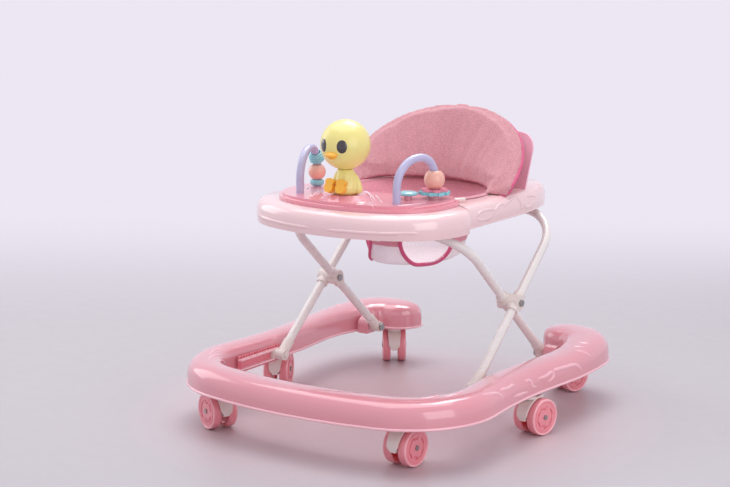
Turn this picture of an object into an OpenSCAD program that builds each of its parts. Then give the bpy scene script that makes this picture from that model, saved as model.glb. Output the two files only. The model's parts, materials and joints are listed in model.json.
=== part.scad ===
// Baby walker on six swivel casters: a moulded U-shaped base ring, two crossing
// tube frames that fold like scissors, and a tray that carries the seat and toys.
// Millimetres. X is across, -Y is the walker's front, +Z is up, and the origin is on
// the floor under the middle of the base.

/* [Base ring] */
// Radius of the front bar's centreline
front_r = 743; // [500:10:1200]
// Angle that the front bar turns from its middle to a corner
front_turn = 13; // [8:1:16]
// Radius of a front corner's centreline
corner_r = 128; // [110:2:150]
// Radius of the shallow waist in each side arm
waist_r = 900; // [700:20:1400]
// Angle that the waist turns back
waist_turn = 15.2; // [10:0.2:17]
// Radius of the outward bow behind the waist
bow_r = 640; // [500:10:760]
// Radius of a rear corner's centreline
rear_r = 68; // [64:1:90]
// Length of the rounded end of each arm
end_len = 50; // [36:2:60]
// Width of the ring's section
bar_w = 64; // [58:1:72]
// Height of the ring's section
bar_h = 45; // [40:1:52]
// Extra width inside each rear corner
bulb_w = 26; // [10:1:30]
// Extra height of each rear corner
bulb_h = 6; // [0:1:10]
// Height of the ring's lower rim above the floor
rim_z = 75; // [74:1:84]
// Height of the upright band along the lower rim
lip_h = 8; // [6:1:10]
// Wall of the moulded plastic parts
wall = 3; // [2:0.5:4]

/* [Casters] */
// Wheel diameter
wheel_d = 65; // [56:1:66]
// Width of one wheel
wheel_w = 16; // [12:1:18]
// Gap between the two wheels of a caster
wheel_gap = 14; // [12:1:18]
// Distance from a caster's stem back to its axle
trail = 18; // [14:1:20]
// Diameter of the swivel stem
stem_d = 10; // [8:0.5:12]
// Diameter of the wheel axle
axle_d = 6; // [4:0.5:7]
// Width of the caster's fender
fender_w = 26; // [22:1:30]
// Thickness of the caster's fender
fender_t = 3; // [2:0.5:4]

/* [Folding frames] */
// Diameter of the frame tubes
tube_d = 16; // [14:0.5:18]
// Wall of the frame tubes
tube_t = 1.2; // [1:0.1:2]
// Half the distance between the inner frame's legs
leg_in = 185; // [176:1:188]
// Distance between an inner leg and its outer leg
leg_step = 21; // [21:0.5:24]
// Leg length below the crossing bolt
leg_low = 190; // [180:2:200]
// Leg length above the crossing bolt, to the crossbar
leg_up = 212; // [204:2:220]
// Radius of the bends at the top of the legs
bend_r = 80; // [60:2:90]
// Angle of the legs from the floor with the walker raised
leg_angle = 41; // [38:1:44]
// Distance of the crossing bolts behind the middle of the base
cross_y = 75; // [60:1:80]
// Height of the frames' lower pivots
pivot_z = 90; // [88:1:96]
// Diameter of the bolts at the crossing and the rear pivots
bolt_d = 8; // [6:0.5:8]
// Diameter of the sliding shoes' pins
pin_d = 6; // [5:0.5:7]
// Travel of the shoes along the racks
shoe_travel = 88; // [86:1:96]

/* [Tray] */
// Height of the tray's top face
tray_z = 401; // [396:1:408]
// Height of the tray's skirt
skirt_h = 40; // [38:1:46]
// Distance of the tray's front edge from the middle
tray_front = 239; // [236:1:248]
// Radius of the tray's front edge
tray_front_r = 330; // [280:10:420]
// Radius of the tray's front corners
tray_corner_r = 125; // [110:5:130]
// Radius of the tray's rear corners
tray_rear_r = 95; // [80:5:100]
// Length of the straight side of the tray
tray_side = 178; // [160:2:190]
// Width of the seat opening
seat_w = 268; // [250:2:272]
// Length of the seat opening
seat_l = 244; // [230:2:250]
// Distance of the seat's centre behind the middle
seat_y = 63; // [58:1:68]

/* [Toys] */
// Height of the toy tray above the tray
toy_h = 12; // [10:1:16]
// Diameter of the toy arches' rods
arch_d = 14; // [12:0.5:15]
// Radius of the toy arches' front shoulder
arch_rf = 49; // [44:1:52]
// Radius of the toy arches' rear shoulder
arch_rb = 34; // [30:1:36]
// Diameter of the chick's head
head_d = 86; // [76:1:90]

/* [Backrest] */
// Half width of the backrest at its foot
back_w = 177; // [170:1:180]
// Distance of the backrest's ends behind the middle
back_y = 77; // [70:1:84]
// Depth of the backrest's curve at its foot
back_d = 110; // [100:1:112]
// Rearward lean of the backrest, for each millimetre of height
back_lean = 0.38; // [0.3:0.01:0.42]
// Height of the cushion above the tray
pad_h = 140; // [130:2:150]
// Thickness of the cushion's top edge
pad_t = 18; // [14:1:22]
// Height of the backrest board above the tray
board_h = 104; // [90:2:116]
// Half width of the backrest board
board_w = 165; // [150:1:168]
// Depth of the seat sling below the tray's top face
sling_h = 126; // [110:2:130]

/* [Hidden] */
$fn = 64;

pink = [0.87, 0.56, 0.62];
pale_pink = [0.93, 0.80, 0.83];
mid_pink = [0.88, 0.52, 0.58];
cream = [0.90, 0.87, 0.84];
red = [0.80, 0.16, 0.18];
steel = [0.55, 0.55, 0.57];
lilac = [0.70, 0.68, 0.82];
turquoise = [0.50, 0.77, 0.80];
peach = [0.90, 0.66, 0.58];
yellow = [0.92, 0.83, 0.48];
orange = [0.95, 0.66, 0.18];
dusty_pink = [0.83, 0.56, 0.60];

// Clearances: parts that only rest together, a shaft that turns, and a fixed pin
rest_gap = 0.3;
run_gap = 0.05;
fix_gap = 0.02;

// ---- The base ring's centreline, as arcs that start at the middle of the front ----
// Each arc is [radius, turn]; a negative radius turns outwards, and 0 is a straight run
waist_in = 97.6;
corner_turn = waist_in - front_turn;
bow_out = 98;
bow_turn = bow_out - (waist_in - waist_turn);
end_heading = 185;
ARCS = [[front_r, front_turn], [corner_r, corner_turn], [-waist_r, waist_turn],
        [bow_r, bow_turn], [rear_r, end_heading - bow_out], [0, end_len]];
ARC_STEPS = [3, 9, 4, 4, 8, 6];

// A place on the line is [x, y, heading]; walk() follows one arc for a share f of it
function walk(p, arc, f = 1) = arc[0] == 0
    ? [p[0] + arc[1] * f * cos(p[2]), p[1] + arc[1] * f * sin(p[2]), p[2]]
    : let (h = p[2] + sign(arc[0]) * arc[1] * f)
      [p[0] + arc[0] * (sin(h) - sin(p[2])), p[1] + arc[0] * (cos(p[2]) - cos(h)), h];
function start_of(i, p0) = i == 0 ? p0 : walk(start_of(i - 1, p0), ARCS[i - 1]);
// The rear edge lies where the rear corner heads straight across
rear_line = walk(start_of(4, [0, 0, 0]), [rear_r, 180 - bow_out])[1];
P0 = [0, -rear_line / 2, 0];
function on_line(u) = let (i = min(floor(u), len(ARCS) - 1)) walk(start_of(i, P0), ARCS[i], u - i);

// How far the rear corner's bulb is grown, from 0 to 1, at place u
function bulb(u) = lookup(u, [[3.3, 0], [3.6, 0.2], [4, 0.75], [4.5, 1], [5, 0.85], [6, 0.7]]);
// The rounded end: a quarter ellipse over the last run
last_share = 0.985;
function taper(u) = u <= 5 ? 1 : sqrt(1 - pow(u - 5, 2));
function half_out(u, t = 0) = (bar_w / 2 - t) * taper(u);
function half_in(u, t = 0) = (bar_w / 2 + bulb_w * bulb(u) - t) * taper(u);
function ring_h(u, t = 0) = lip_h + (bar_h - lip_h + bulb_h * bulb(u) - t) * pow(taper(u), 0.35);
// The section is rounder outside than inside
round_out = 0.8;
round_in = 0.5;
function section(u, t = 0, n = 12) = concat(
    [[half_out(u, t), 0]],
    [for (k = [0:n]) let (a = 180 * k / n, e = a < 90 ? round_out : round_in,
        w = a < 90 ? half_out(u, t) : half_in(u, t))
        [sign(cos(a)) * w * pow(abs(cos(a)), e),
         lip_h * 1 + (ring_h(u, t) - lip_h) * pow(sin(a), e)]],
    [[-half_in(u, t), 0]]);
// Height of the shell's inner face above the rim, at a distance o outside the line
function inside_h(u, o) = let (w = o > 0 ? half_out(u, wall) : half_in(u, wall),
        e = o > 0 ? round_out : round_in)
    lip_h + (ring_h(u, wall) - lip_h) * pow(1 - pow(abs(o) / w, 1 / e), e);

function place(p, o) = [p[0] + o * sin(p[2]), p[1] - o * cos(p[2])];
U_LIST = concat([0], [for (i = [0:5]) for (k = [1:ARC_STEPS[i]])
    i + k / ARC_STEPS[i] * (i == 5 ? last_share : 1)]);
N_HALF = len(U_LIST) - 1;
function flip(q, side) = [q[0] * side, q[1]];
// The inner skin ends one wall short of each arm's tip
function u_inner(u) = u <= 5 ? u : 5 + (u - 5) * (end_len - wall) / end_len;
function skin(t) = [for (i = [-N_HALF:N_HALF])
    let (u = U_LIST[abs(i)], p = on_line(t > 0 ? u_inner(u) : u), s = i < 0 ? -1 : 1)
    for (q = section(u, t)) let (w = flip(place(p, q[0]), s)) [w[0], w[1], rim_z + q[1]]];

// The inner wall of an arm as a table of [y, x], to seat what is fixed to it
WALL = [for (k = [11:40]) let (u = k / 10, w = place(on_line(u), -half_in(u))) [w[1], w[0]]];
function wall_x(y) = lookup(y, WALL);

// ---- Places of the casters: [u on the line, distance outside it, rest angle] ----
C_FRONT = [1.141, -19];
C_MID = [2.679, 15];
C_REAR = [5.07, -24];
CASTERS = [["fl", C_FRONT, -1, -115], ["fr", C_FRONT, 1, 175], ["ml", C_MID, -1, -156],
           ["mr", C_MID, 1, 168], ["rl", C_REAR, -1, -146], ["rr", C_REAR, 1, 164]];
function caster_at(c) = flip(place(on_line(c[1][0]), c[1][1]), c[2]);
function caster(tag) = [for (c = CASTERS) if (c[0] == tag) c][0];

wheel_r = wheel_d / 2;
socket_r = stem_d / 2 + 3.5;
pan_t = 3;
pan_z = rim_z + 1;
crown_z = rim_z - 4;
function socket_top(c) = rim_z + inside_h(c[1][0],
    c[1][1] + sign(c[1][1]) * socket_r) - 2 * rest_gap;

// ---- Fold geometry ----
leg_out = leg_in + leg_step;
leg_mid = (leg_in + leg_out) / 2;
cross_z = pivot_z + leg_low * sin(leg_angle);
rear_pivot_y = cross_y + leg_low * cos(leg_angle);
shoe_y = cross_y - leg_low * cos(leg_angle);
bar_z = cross_z + leg_up * sin(leg_angle);
front_bar_y = cross_y - leg_up * cos(leg_angle);
rear_bar_y = cross_y + leg_up * cos(leg_angle);
eye_r = 10;
eye_w = 10;
fold_travel = shoe_travel * leg_up / leg_low;

// Places a frame's own plane, with its legs along +Y, at the crossing
module inner_plane() {
    translate([0, cross_y, cross_z]) rotate([180 - leg_angle, 0, 0]) children();
}
module outer_plane() {
    translate([0, cross_y, cross_z]) rotate([leg_angle, 0, 0]) children();
}
module along_x(x0, x1, r) {
    translate([x0, 0, 0]) rotate([0, 90, 0]) cylinder(r = r, h = x1 - x0);
}
module both_sides() {
    children();
    mirror([1, 0, 0]) children();
}

// ---- Base ----
module base_shell() {
    n = 2 * N_HALF + 1;
    m = 15;
    outer = skin(0);
    inner = skin(wall);
    k = n * m;
    color(pink) polyhedron(
        points = concat(outer, inner),
        faces = concat(
            [for (i = [0:n - 2]) for (j = [0:m - 2])
                [i * m + j, i * m + j + 1, (i + 1) * m + j + 1, (i + 1) * m + j]],
            [for (i = [0:n - 2]) for (j = [0:m - 2])
                [k + i * m + j, k + (i + 1) * m + j, k + (i + 1) * m + j + 1, k + i * m + j + 1]],
            [[for (j = [m - 1:-1:0]) j]],
            [[for (j = [0:m - 1]) (n - 1) * m + j]],
            [[for (j = [0:m - 1]) k + j]],
            [[for (j = [m - 1:-1:0]) k + (n - 1) * m + j]],
            [for (i = [0:n - 2]) [i * m, (i + 1) * m, k + (i + 1) * m, k + i * m]],
            [for (i = [0:n - 2]) [(i + 1) * m + m - 1, i * m + m - 1,
                k + i * m + m - 1, k + (i + 1) * m + m - 1]],
            [[0, k, k + m - 1, m - 1]],
            [[(n - 1) * m, (n - 1) * m + m - 1, k + (n - 1) * m + m - 1, k + (n - 1) * m]]));
}

module base_pan() {
    t = wall + rest_gap;
    right = [for (u = U_LIST) place(on_line(u_inner(u)), half_out(u, t))];
    left = [for (u = U_LIST) place(on_line(u_inner(u)), -half_in(u, t))];
    half = concat(right, [for (i = [N_HALF:-1:0]) left[i]]);
    color(pink) difference() {
        union() {
            translate([0, 0, pan_z]) linear_extrude(pan_t) {
                polygon(half);
                mirror([1, 0]) polygon(half);
            }
            for (c = CASTERS) translate(caster_at(c)) translate([0, 0, crown_z + rest_gap])
                cylinder(r = socket_r, h = socket_top(c) - crown_z - rest_gap);
        }
        for (c = CASTERS) translate(caster_at(c)) translate([0, 0, crown_z - 1])
            cylinder(r = stem_d / 2 + run_gap, h = socket_top(c) - crown_z - 1);
    }
}

// ---- Racks: a perforated plate with a channel that guides a shoe ----
slider_h = 14;
slider_l = 24;
rail_face = leg_out + eye_w + rest_gap;
rail_web = rail_face + 6;
rail_y1 = shoe_y + slider_l / 2 + 6;
rail_y0 = shoe_y - shoe_travel - slider_l / 2 - 5;
rail_back = min([for (k = [0:10]) wall_x(rail_y0 + (rail_y1 - rail_y0) * k / 10)]) - rest_gap;
hole = 4;
hole_pitch = 8;
module rack() {
    rail_len = rail_y1 - rail_y0;
    n_holes = floor((rail_len - 2 * hole) / hole_pitch);
    color(red) translate([0, rail_y0, pivot_z]) difference() {
        union() {
            translate([rail_web, 0, -15]) cube([rail_back - rail_web, rail_len, 30]);
            translate([rail_face + 0.2, 0, -slider_h / 2 - 3.2])
                cube([rail_web - rail_face, rail_len, slider_h + 6.4]);
        }
        translate([rail_face - 1, 3, -slider_h / 2 - 0.2])
            cube([rail_web - rail_face + 1, rail_len - 6, slider_h + 0.4]);
        for (k = [0:n_holes - 1]) for (s = [-1, 1])
            translate([rail_web - 1, hole + k * hole_pitch, s * 12.6 - 1.6])
                cube([rail_back - rail_web + 2, hole, 3.2]);
    }
}
module rack_left() { mirror([1, 0, 0]) rack(); }
module rack_right() { rack(); }

// ---- Rear pivots ----
bracket_w = 34;
module pivot_brackets() {
    x0 = leg_in + eye_w + rest_gap;
    x1 = wall_x(rear_pivot_y + bracket_w / 2) - rest_gap;
    color(pink) both_sides() difference() {
        union() {
            translate([x0, rear_pivot_y - bracket_w / 2, rim_z + 1])
                cube([x1 - x0, bracket_w, pivot_z - rim_z - 1]);
            translate([0, rear_pivot_y, pivot_z]) along_x(x0, x1, bracket_w / 2);
        }
        translate([0, rear_pivot_y, pivot_z]) along_x(x0 - 1, x1 + 1, bolt_d / 2 + fix_gap);
        translate([x0 - 1, rear_pivot_y - bracket_w, rim_z - 9]) cube([x1 - x0 + 2, bracket_w * 2, 10]);
    }
}
module pivot_bolts() {
    x1 = wall_x(rear_pivot_y + bracket_w / 2) - rest_gap;
    color(steel) both_sides() translate([0, rear_pivot_y, pivot_z]) {
        along_x(leg_in - eye_w - rest_gap - 1, x1 - 1, bolt_d / 2);
        along_x(leg_in - eye_w - rest_gap - 4, leg_in - eye_w - rest_gap, bolt_d * 0.9);
    }
}

// ---- Casters, built with the stem at the origin and the fender towards +Y ----
module at_caster(tag) {
    c = caster(tag);
    translate(caster_at(c)) rotate([0, 0, c[3]]) children();
}
module at_axle() {
    translate([0, -trail, wheel_r]) rotate([90, 0, 90]) children();
}
module fork(tag) {
    c = caster(tag);
    r0 = wheel_r + 2.5;
    web_w = wheel_gap - 3;
    color(cream) at_caster(tag) {
        difference() {
            union() {
                translate([0, 0, wheel_d + 1.5]) cylinder(r = 13, h = crown_z - wheel_d - 1.5);
                translate([0, 0, wheel_d]) cylinder(r = stem_d / 2, h = socket_top(c) - 4 - wheel_d);
                intersection() {
                    at_axle() rotate([0, 0, -14]) rotate_extrude(angle = 112)
                        translate([r0, -fender_w / 2]) square([fender_t, fender_w]);
                    translate([0, wheel_d, 0]) rotate([90, 0, 0]) linear_extrude(wheel_d * 2) {
                        translate([0, wheel_r + 9]) circle(r = fender_w / 2 - 2);
                        polygon([[-fender_w / 2 + 2, wheel_r + 9], [fender_w / 2 - 2, wheel_r + 9],
                            [fender_w / 2 + 1, wheel_d + 6], [-fender_w / 2 - 1, wheel_d + 6]]);
                    }
                }
                at_axle() translate([0, 0, -web_w / 2]) linear_extrude(web_w) {
                    circle(r = axle_d / 2 + 5);
                    polygon([[-axle_d / 2 - 4, 3], [0, -axle_d / 2 - 4], [r0 + 1, -4], [r0 + 1, 6],
                        [r0 * 0.72, r0 * 0.72], [8, r0 + 1], [-4, r0 + 1]]);
                }
            }
            at_axle() translate([0, 0, -web_w]) cylinder(r = axle_d / 2 + run_gap, h = web_w * 2);
        }
    }
}
module each_wheel() {
    at_axle() for (s = [0, 1]) mirror([0, 0, s]) children();
}
module wheels(tag) {
    r = wheel_r;
    x0 = wheel_gap / 2;
    x1 = x0 + wheel_w;
    b = axle_d / 2 + fix_gap;
    color(pink) at_caster(tag) each_wheel() difference() {
        rotate_extrude() polygon([[b, x0 + 9], [r - 4.5, x0 + 9], [r - 4.5, x0 + 0.5], [r - 1.5, x0 + 0.5],
            [r - 0.4, x0 + 1.4], [r, x0 + 3], [r, x1 - 4], [r - 0.6, x1 - 2.2], [r - 2.4, x1 - 1],
            [r - 6, x1 - 0.6], [r - 6.6, x1 - 1.2], [r - 8, x1 - 1.2], [r - 8.6, x1 - 0.4],
            [6, x1], [b, x1]]);
        // A seven-sided line of moulded grooves, broken by plain stretches
        translate([0, 0, x1 - 1.2]) linear_extrude(2) difference() {
            circle(r = r * 0.62, $fn = 7);
            circle(r = r * 0.55, $fn = 7);
            for (a = [0, 120, 240]) rotate(a) translate([r * 0.5, 0]) square([r, r * 0.3], center = true);
        }
    }
}
module hubs(tag) {
    x0 = wheel_gap / 2;
    color(red) at_caster(tag) each_wheel() rotate_extrude() polygon([
        [axle_d / 2 + fix_gap, x0], [9, x0], [9, x0 + 3], [wheel_r - 9, x0 + 3], [wheel_r - 7, x0 + 1],
        [wheel_r - 4.8, x0 + 1], [wheel_r - 4.8, x0 + 8.7], [axle_d / 2 + fix_gap, x0 + 8.7]]);
}
module axle(tag) {
    x1 = wheel_gap / 2 + wheel_w;
    color(steel) at_caster(tag) at_axle() {
        translate([0, 0, -x1 - 1]) cylinder(d = axle_d, h = 2 * x1 + 2);
        for (s = [0, 1]) mirror([0, 0, s])
            translate([0, 0, x1 + rest_gap / 3]) cylinder(r = axle_d * 0.72, h = 1.6);
    }
}

// ---- Folding frames: each is one bent tube ----
module tube_ring() {
    difference() {
        circle(d = tube_d);
        circle(d = tube_d - 2 * tube_t);
    }
}
module bent_tube(half_w) {
    run_low = leg_low - eye_r - 2;
    both_sides() {
        translate([half_w, -run_low, 0]) rotate([-90, 0, 0])
            linear_extrude(run_low + leg_up - bend_r) tube_ring();
        translate([half_w - bend_r, leg_up - bend_r, 0]) rotate_extrude(angle = 90)
            translate([bend_r, 0]) tube_ring();
    }
    translate([-half_w + bend_r, leg_up, 0]) rotate([0, 90, 0])
        linear_extrude(2 * (half_w - bend_r)) tube_ring();
}
module inner_frame() {
    color(cream) inner_plane() difference() {
        bent_tube(leg_in);
        both_sides() along_x(leg_in - tube_d, leg_in + tube_d, bolt_d / 2 + fix_gap);
    }
}
module outer_frame() {
    color(cream) outer_plane() difference() {
        bent_tube(leg_out);
        both_sides() along_x(leg_out - tube_d, leg_out + tube_d, bolt_d / 2 + run_gap);
    }
}

// ---- Collars at the crossing: flat faces meet at leg_mid ----
collar_r = 11;
collar_l = 38;
boss_r = 14;
module collar(leg, x0, x1, bolt_gap) {
    difference() {
        intersection() {
            union() {
                translate([leg, -collar_l / 2, 0]) rotate([-90, 0, 0]) cylinder(r = collar_r, h = collar_l);
                along_x(x0, x1, boss_r);
            }
            translate([x0, -collar_l, -collar_l]) cube([x1 - x0, collar_l * 2, collar_l * 2]);
        }
        translate([leg, -collar_l, 0]) rotate([-90, 0, 0])
            cylinder(d = tube_d + 2 * fix_gap, h = collar_l * 2);
        along_x(x0 - 1, x1 + 1, bolt_d / 2 + bolt_gap);
    }
}
module inner_collars() {
    color(cream) inner_plane() both_sides()
        collar(leg_in, leg_in - collar_r + 1, leg_mid - rest_gap / 2, fix_gap);
}
module outer_collars() {
    color(cream) outer_plane() both_sides()
        collar(leg_out, leg_mid + rest_gap / 2, leg_out + collar_r - 1, run_gap);
}
module crossing_bolts() {
    x0 = leg_in - collar_r + 1 - rest_gap;
    x1 = leg_out + collar_r - 1 + rest_gap;
    color(steel) inner_plane() both_sides() {
        along_x(x0 - 1, x1 + 1, bolt_d / 2);
        translate([x1, 0, 0]) rotate([0, 90, 0]) cylinder(r = bolt_d * 0.8, h = 4, $fn = 6);
        along_x(x0 - 3, x0, bolt_d * 0.8);
    }
}

// ---- Plastic ends of the legs, each with an eye for its pivot ----
module leg_end(leg, bore_r) {
    sleeve = 32;
    difference() {
        union() {
            translate([0, -leg_low, 0]) along_x(leg - eye_w, leg + eye_w, eye_r);
            translate([leg, -leg_low, 0]) rotate([-90, 0, 0]) cylinder(r = eye_r - 0.2, h = sleeve);
        }
        translate([leg, -leg_low + eye_r + 2 - rest_gap, 0]) rotate([-90, 0, 0])
            cylinder(d = tube_d + 2 * fix_gap, h = sleeve);
        translate([0, -leg_low, 0]) along_x(leg - eye_w - 1, leg + eye_w + 1, bore_r);
    }
}
module inner_leg_ends() {
    color(cream) inner_plane() both_sides() leg_end(leg_in, bolt_d / 2 + run_gap);
}
module outer_leg_ends() {
    color(cream) outer_plane() both_sides() leg_end(leg_out, pin_d / 2 + run_gap);
}

// ---- Sliding shoes, each with its own pin ----
module shoe() {
    x0 = leg_out - eye_w - rest_gap;
    color(cream) translate([0, shoe_y, pivot_z]) {
        translate([leg_out + eye_w + rest_gap, -slider_l / 2, -slider_h / 2])
            cube([rail_web - rail_face - rest_gap, slider_l, slider_h]);
        along_x(x0 - 1, rail_web - 2, pin_d / 2);
        along_x(x0 - 3, x0, pin_d * 0.9);
    }
}
module shoe_left() { mirror([1, 0, 0]) shoe(); }
module shoe_right() { shoe(); }

// ---- Tray outline, walked in the same way from the middle of the front ----
step_in = 22;
tray_turn = 22;
side_heading = 90;
rear_lean = 105;
TRAY_ARCS = [[tray_front_r, tray_turn], [tray_corner_r, 90 - tray_turn], [0, 13], [18, 75], [-12, 75],
             [0, tray_side], [500, rear_lean - 90], [tray_rear_r, 180 - rear_lean]];
TRAY_STEPS = [7, 8, 1, 4, 3, 10, 7, 7];
function tray_start(i) = i == 0 ? [0, -tray_front, 0] : walk(tray_start(i - 1), TRAY_ARCS[i - 1]);
TRAY_HALF = concat([[0, -tray_front]],
    [for (i = [0:len(TRAY_ARCS) - 1]) for (k = [1:TRAY_STEPS[i]])
        let (p = walk(tray_start(i), TRAY_ARCS[i], k / TRAY_STEPS[i])) [p[0], p[1]]],
    let (p = tray_start(len(TRAY_ARCS))) [for (k = [2:-1:0]) [p[0] * k / 3, p[1]]]);
N_TRAY = len(TRAY_HALF);
TRAY = concat(TRAY_HALF, [for (i = [N_TRAY - 2:-1:1]) [-TRAY_HALF[i][0], TRAY_HALF[i][1]]]);
SEAT = [seat_w / 2, seat_l / 2];
tray_low = tray_z - skirt_h;
// The tray's section: [distance inside the outline, or outside the opening, height]
TRAY_OUT = [[0, 0], [-2, 12], [-1.5, 24], [1, 32], [5, 37], [12, skirt_h]];
TRAY_SEAT = [[8, skirt_h], [2.5, skirt_h - 1.5], [0, skirt_h - 6], [0, skirt_h - 20]];
module tray_shell() {
    n = len(TRAY);
    up = concat([for (q = TRAY_OUT) [0, q[0], q[1]]], [for (q = TRAY_SEAT) [1, q[0], q[1]]],
        [for (k = [3:-1:0]) [1, TRAY_SEAT[k][0] + wall, TRAY_SEAT[k][1] - (k < 3 ? wall : 0)]],
        [for (k = [5:-1:0]) [0, TRAY_OUT[k][0] + wall, TRAY_OUT[k][1] - (k > 1 ? wall : 0)]]);
    m = len(up);
    pts = [for (p = TRAY)
        let (v = p - [0, seat_y], d = v / norm(v), o = [d[0] * SEAT[0], seat_y + d[1] * SEAT[1]])
        for (q = up) let (w = q[0] == 0 ? p - d * q[1] : o + d * q[1]) [w[0], w[1], tray_low + q[2]]];
    color(pale_pink) polyhedron(points = pts, faces = [for (i = [0:n - 1]) for (j = [0:m - 1])
        [i * m + j, i * m + (j + 1) % m, ((i + 1) % n) * m + (j + 1) % m, ((i + 1) % n) * m + j]]);
}

// ---- What holds the frames' crossbars under the tray ----
hold_x = 85;
hold_w = 14;
under_z = tray_z - wall - rest_gap;
module front_guides() {
    r = tube_d / 2 + rest_gap;
    y0 = front_bar_y - fold_travel;
    color(pale_pink) both_sides() difference() {
        translate([hold_x - hold_w / 2, y0 - r - 3, bar_z - r - 2.5])
            cube([hold_w, front_bar_y - y0 + 2 * r + 6, under_z - bar_z + r + 2.5]);
        translate([0, y0, bar_z]) along_x(hold_x - hold_w, hold_x + hold_w, r);
        translate([0, front_bar_y, bar_z]) along_x(hold_x - hold_w, hold_x + hold_w, r);
        translate([hold_x - hold_w, y0, bar_z - r]) cube([hold_w * 2, front_bar_y - y0, 2 * r]);
        // The keeper under the bar covers only the raised end of its travel
        translate([hold_x - hold_w, y0 - r - 4, bar_z - r - 4])
            cube([hold_w * 2, front_bar_y - 40 - y0 + r + 4, r + 4]);
    }
}
module rear_saddles() {
    r = tube_d / 2 + run_gap;
    color(pale_pink) both_sides() translate([0, rear_bar_y, bar_z]) difference() {
        union() {
            along_x(hold_x - hold_w / 2, hold_x + hold_w / 2, r + 4);
            translate([hold_x - hold_w / 2, -r - 4, 0]) cube([hold_w, 2 * r + 8, under_z - bar_z]);
        }
        along_x(hold_x - hold_w, hold_x + hold_w, r);
    }
}

// ---- Toy tray: a crescent plate between the tray's front edge and the seat opening ----
toy_z = tray_z + rest_gap;
toy_top = tray_z + toy_h;
// Height of the posts under the right arch's plates
stack_h = 7;
toy_inset = 31;
arch_b = [123, -69];
arch_angle = 74.5;
// The rear shoulder is tighter than the front one, so the beads have a straight leg
arch_flat = 3;
arch_span = arch_rb + arch_flat + arch_rf;
arch_f = arch_b - arch_span * [cos(arch_angle), sin(arch_angle)];
TOY_ARCS = [[300, 17.5], [104, 72.5], [0, 34], [34, 60]];
function toy_start(i) = i == 0 ? [0, -tray_front + toy_inset, 0] : walk(toy_start(i - 1), TOY_ARCS[i - 1]);
TOY_HALF = [for (i = [0:3]) for (k = [0:7]) let (p = walk(toy_start(i), TOY_ARCS[i], k / 8)) [p[0], p[1]]];
TOY_END = walk(toy_start(4), [0, 0]);
TOY = concat(TOY_HALF, [[TOY_END[0], TOY_END[1]], [-TOY_END[0], TOY_END[1]]],
    [for (i = [31:-1:1]) [-TOY_HALF[i][0], TOY_HALF[i][1]]]);
// The plate's outline with a strip d wide taken off all round
module toy_outline(d) {
    k = 1 - d / 150;
    difference() {
        translate([0, -110 * (1 - k)]) scale(k) polygon(TOY);
        polygon([for (a = [0:3:357]) [(SEAT[0] + 6 + d) * cos(a), seat_y + (SEAT[1] + 6 + d) * sin(a)]]);
    }
}
module toy_tray() {
    color(mid_pink) difference() {
        union() {
            translate([0, 0, toy_z]) linear_extrude(toy_h * 0.55) toy_outline(0);
            translate([0, 0, toy_z + toy_h * 0.5]) linear_extrude(toy_h * 0.5 - rest_gap) toy_outline(7);
            translate([0, chick_y + 4, toy_top - 1]) cylinder(r1 = 46, r2 = 34, h = chick_z - toy_top + 1);
            translate([arch_b[0], arch_b[1], toy_z]) cylinder(r = 12, h = toy_h + stack_h - rest_gap);
            translate([-arch_b[0], arch_b[1], toy_z]) cylinder(r = 12, h = toy_h - rest_gap);
            translate([spin_at[0], spin_at[1], toy_z]) cylinder(r = 7, h = toy_h + stack_h - rest_gap);
        }
        for (s = [-1, 1]) for (f = [arch_f, arch_b]) translate([s * f[0], f[1], toy_z + 1])
            cylinder(d = arch_d + 2 * fix_gap, h = toy_h * 2);
        translate([0, 0, toy_z + 1]) translate(spin_at) cylinder(d = 5 + 2 * run_gap, h = toy_h * 2);
    }
}

// ---- Toy arches: each a rod over two legs, its rear leg carries beads ----
arch_x = -arch_rb - arch_flat;
arch_top = toy_top + 73;
shoulder_z = arch_top - arch_rb;
module at_arch(side) {
    mirror([side < 0 ? 1 : 0, 0, 0])
        translate([arch_b[0], arch_b[1], 0]) rotate([0, 0, arch_angle]) children();
}
module rod_run(l) {
    linear_extrude(l) circle(d = arch_d);
}
module rod_bend(r) {
    rotate_extrude(angle = 90) translate([r, 0]) circle(d = arch_d);
}
module toy_arches() {
    foot_z = toy_top - toy_h + 2.5;
    front_z = arch_top - arch_rf;
    color(lilac) for (side = [-1, 1]) at_arch(side) rotate([90, 0, 0]) {
        translate([0, foot_z, 0]) rotate([-90, 0, 0]) rod_run(shoulder_z - foot_z);
        translate([-arch_rb, shoulder_z, 0]) rod_bend(arch_rb);
        translate([arch_x, arch_top, 0]) rotate([0, 90, 0]) rod_run(arch_flat);
        translate([arch_x, front_z, 0]) mirror([1, 0, 0]) rod_bend(arch_rf);
        translate([arch_x - arch_rf, foot_z, 0]) rotate([-90, 0, 0]) rod_run(front_z - foot_z);
    }
}
bead_bore = arch_d / 2 + 0.1;
module on_leg(side, z) {
    at_arch(side) translate([0, 0, z]) children();
}
ribbed_tilt = 25;
module bead_ribbed() {
    b = bead_bore + 1.7;
    color(turquoise) on_leg(-1, shoulder_z) translate([-arch_rb, 0, 0]) rotate([0, -ribbed_tilt, 0])
        translate([arch_rb, 0, 0]) rotate_extrude()
        polygon([[b, -9], [11, -9], [13, -7], [13.5, -5.5], [12.2, -4], [13.8, -2], [13.8, -0.5],
            [12.4, 1], [13.4, 2.6], [13, 4.4], [11.6, 5.4], [11.8, 7.4], [10.5, 9], [b, 9]]);
}
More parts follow.
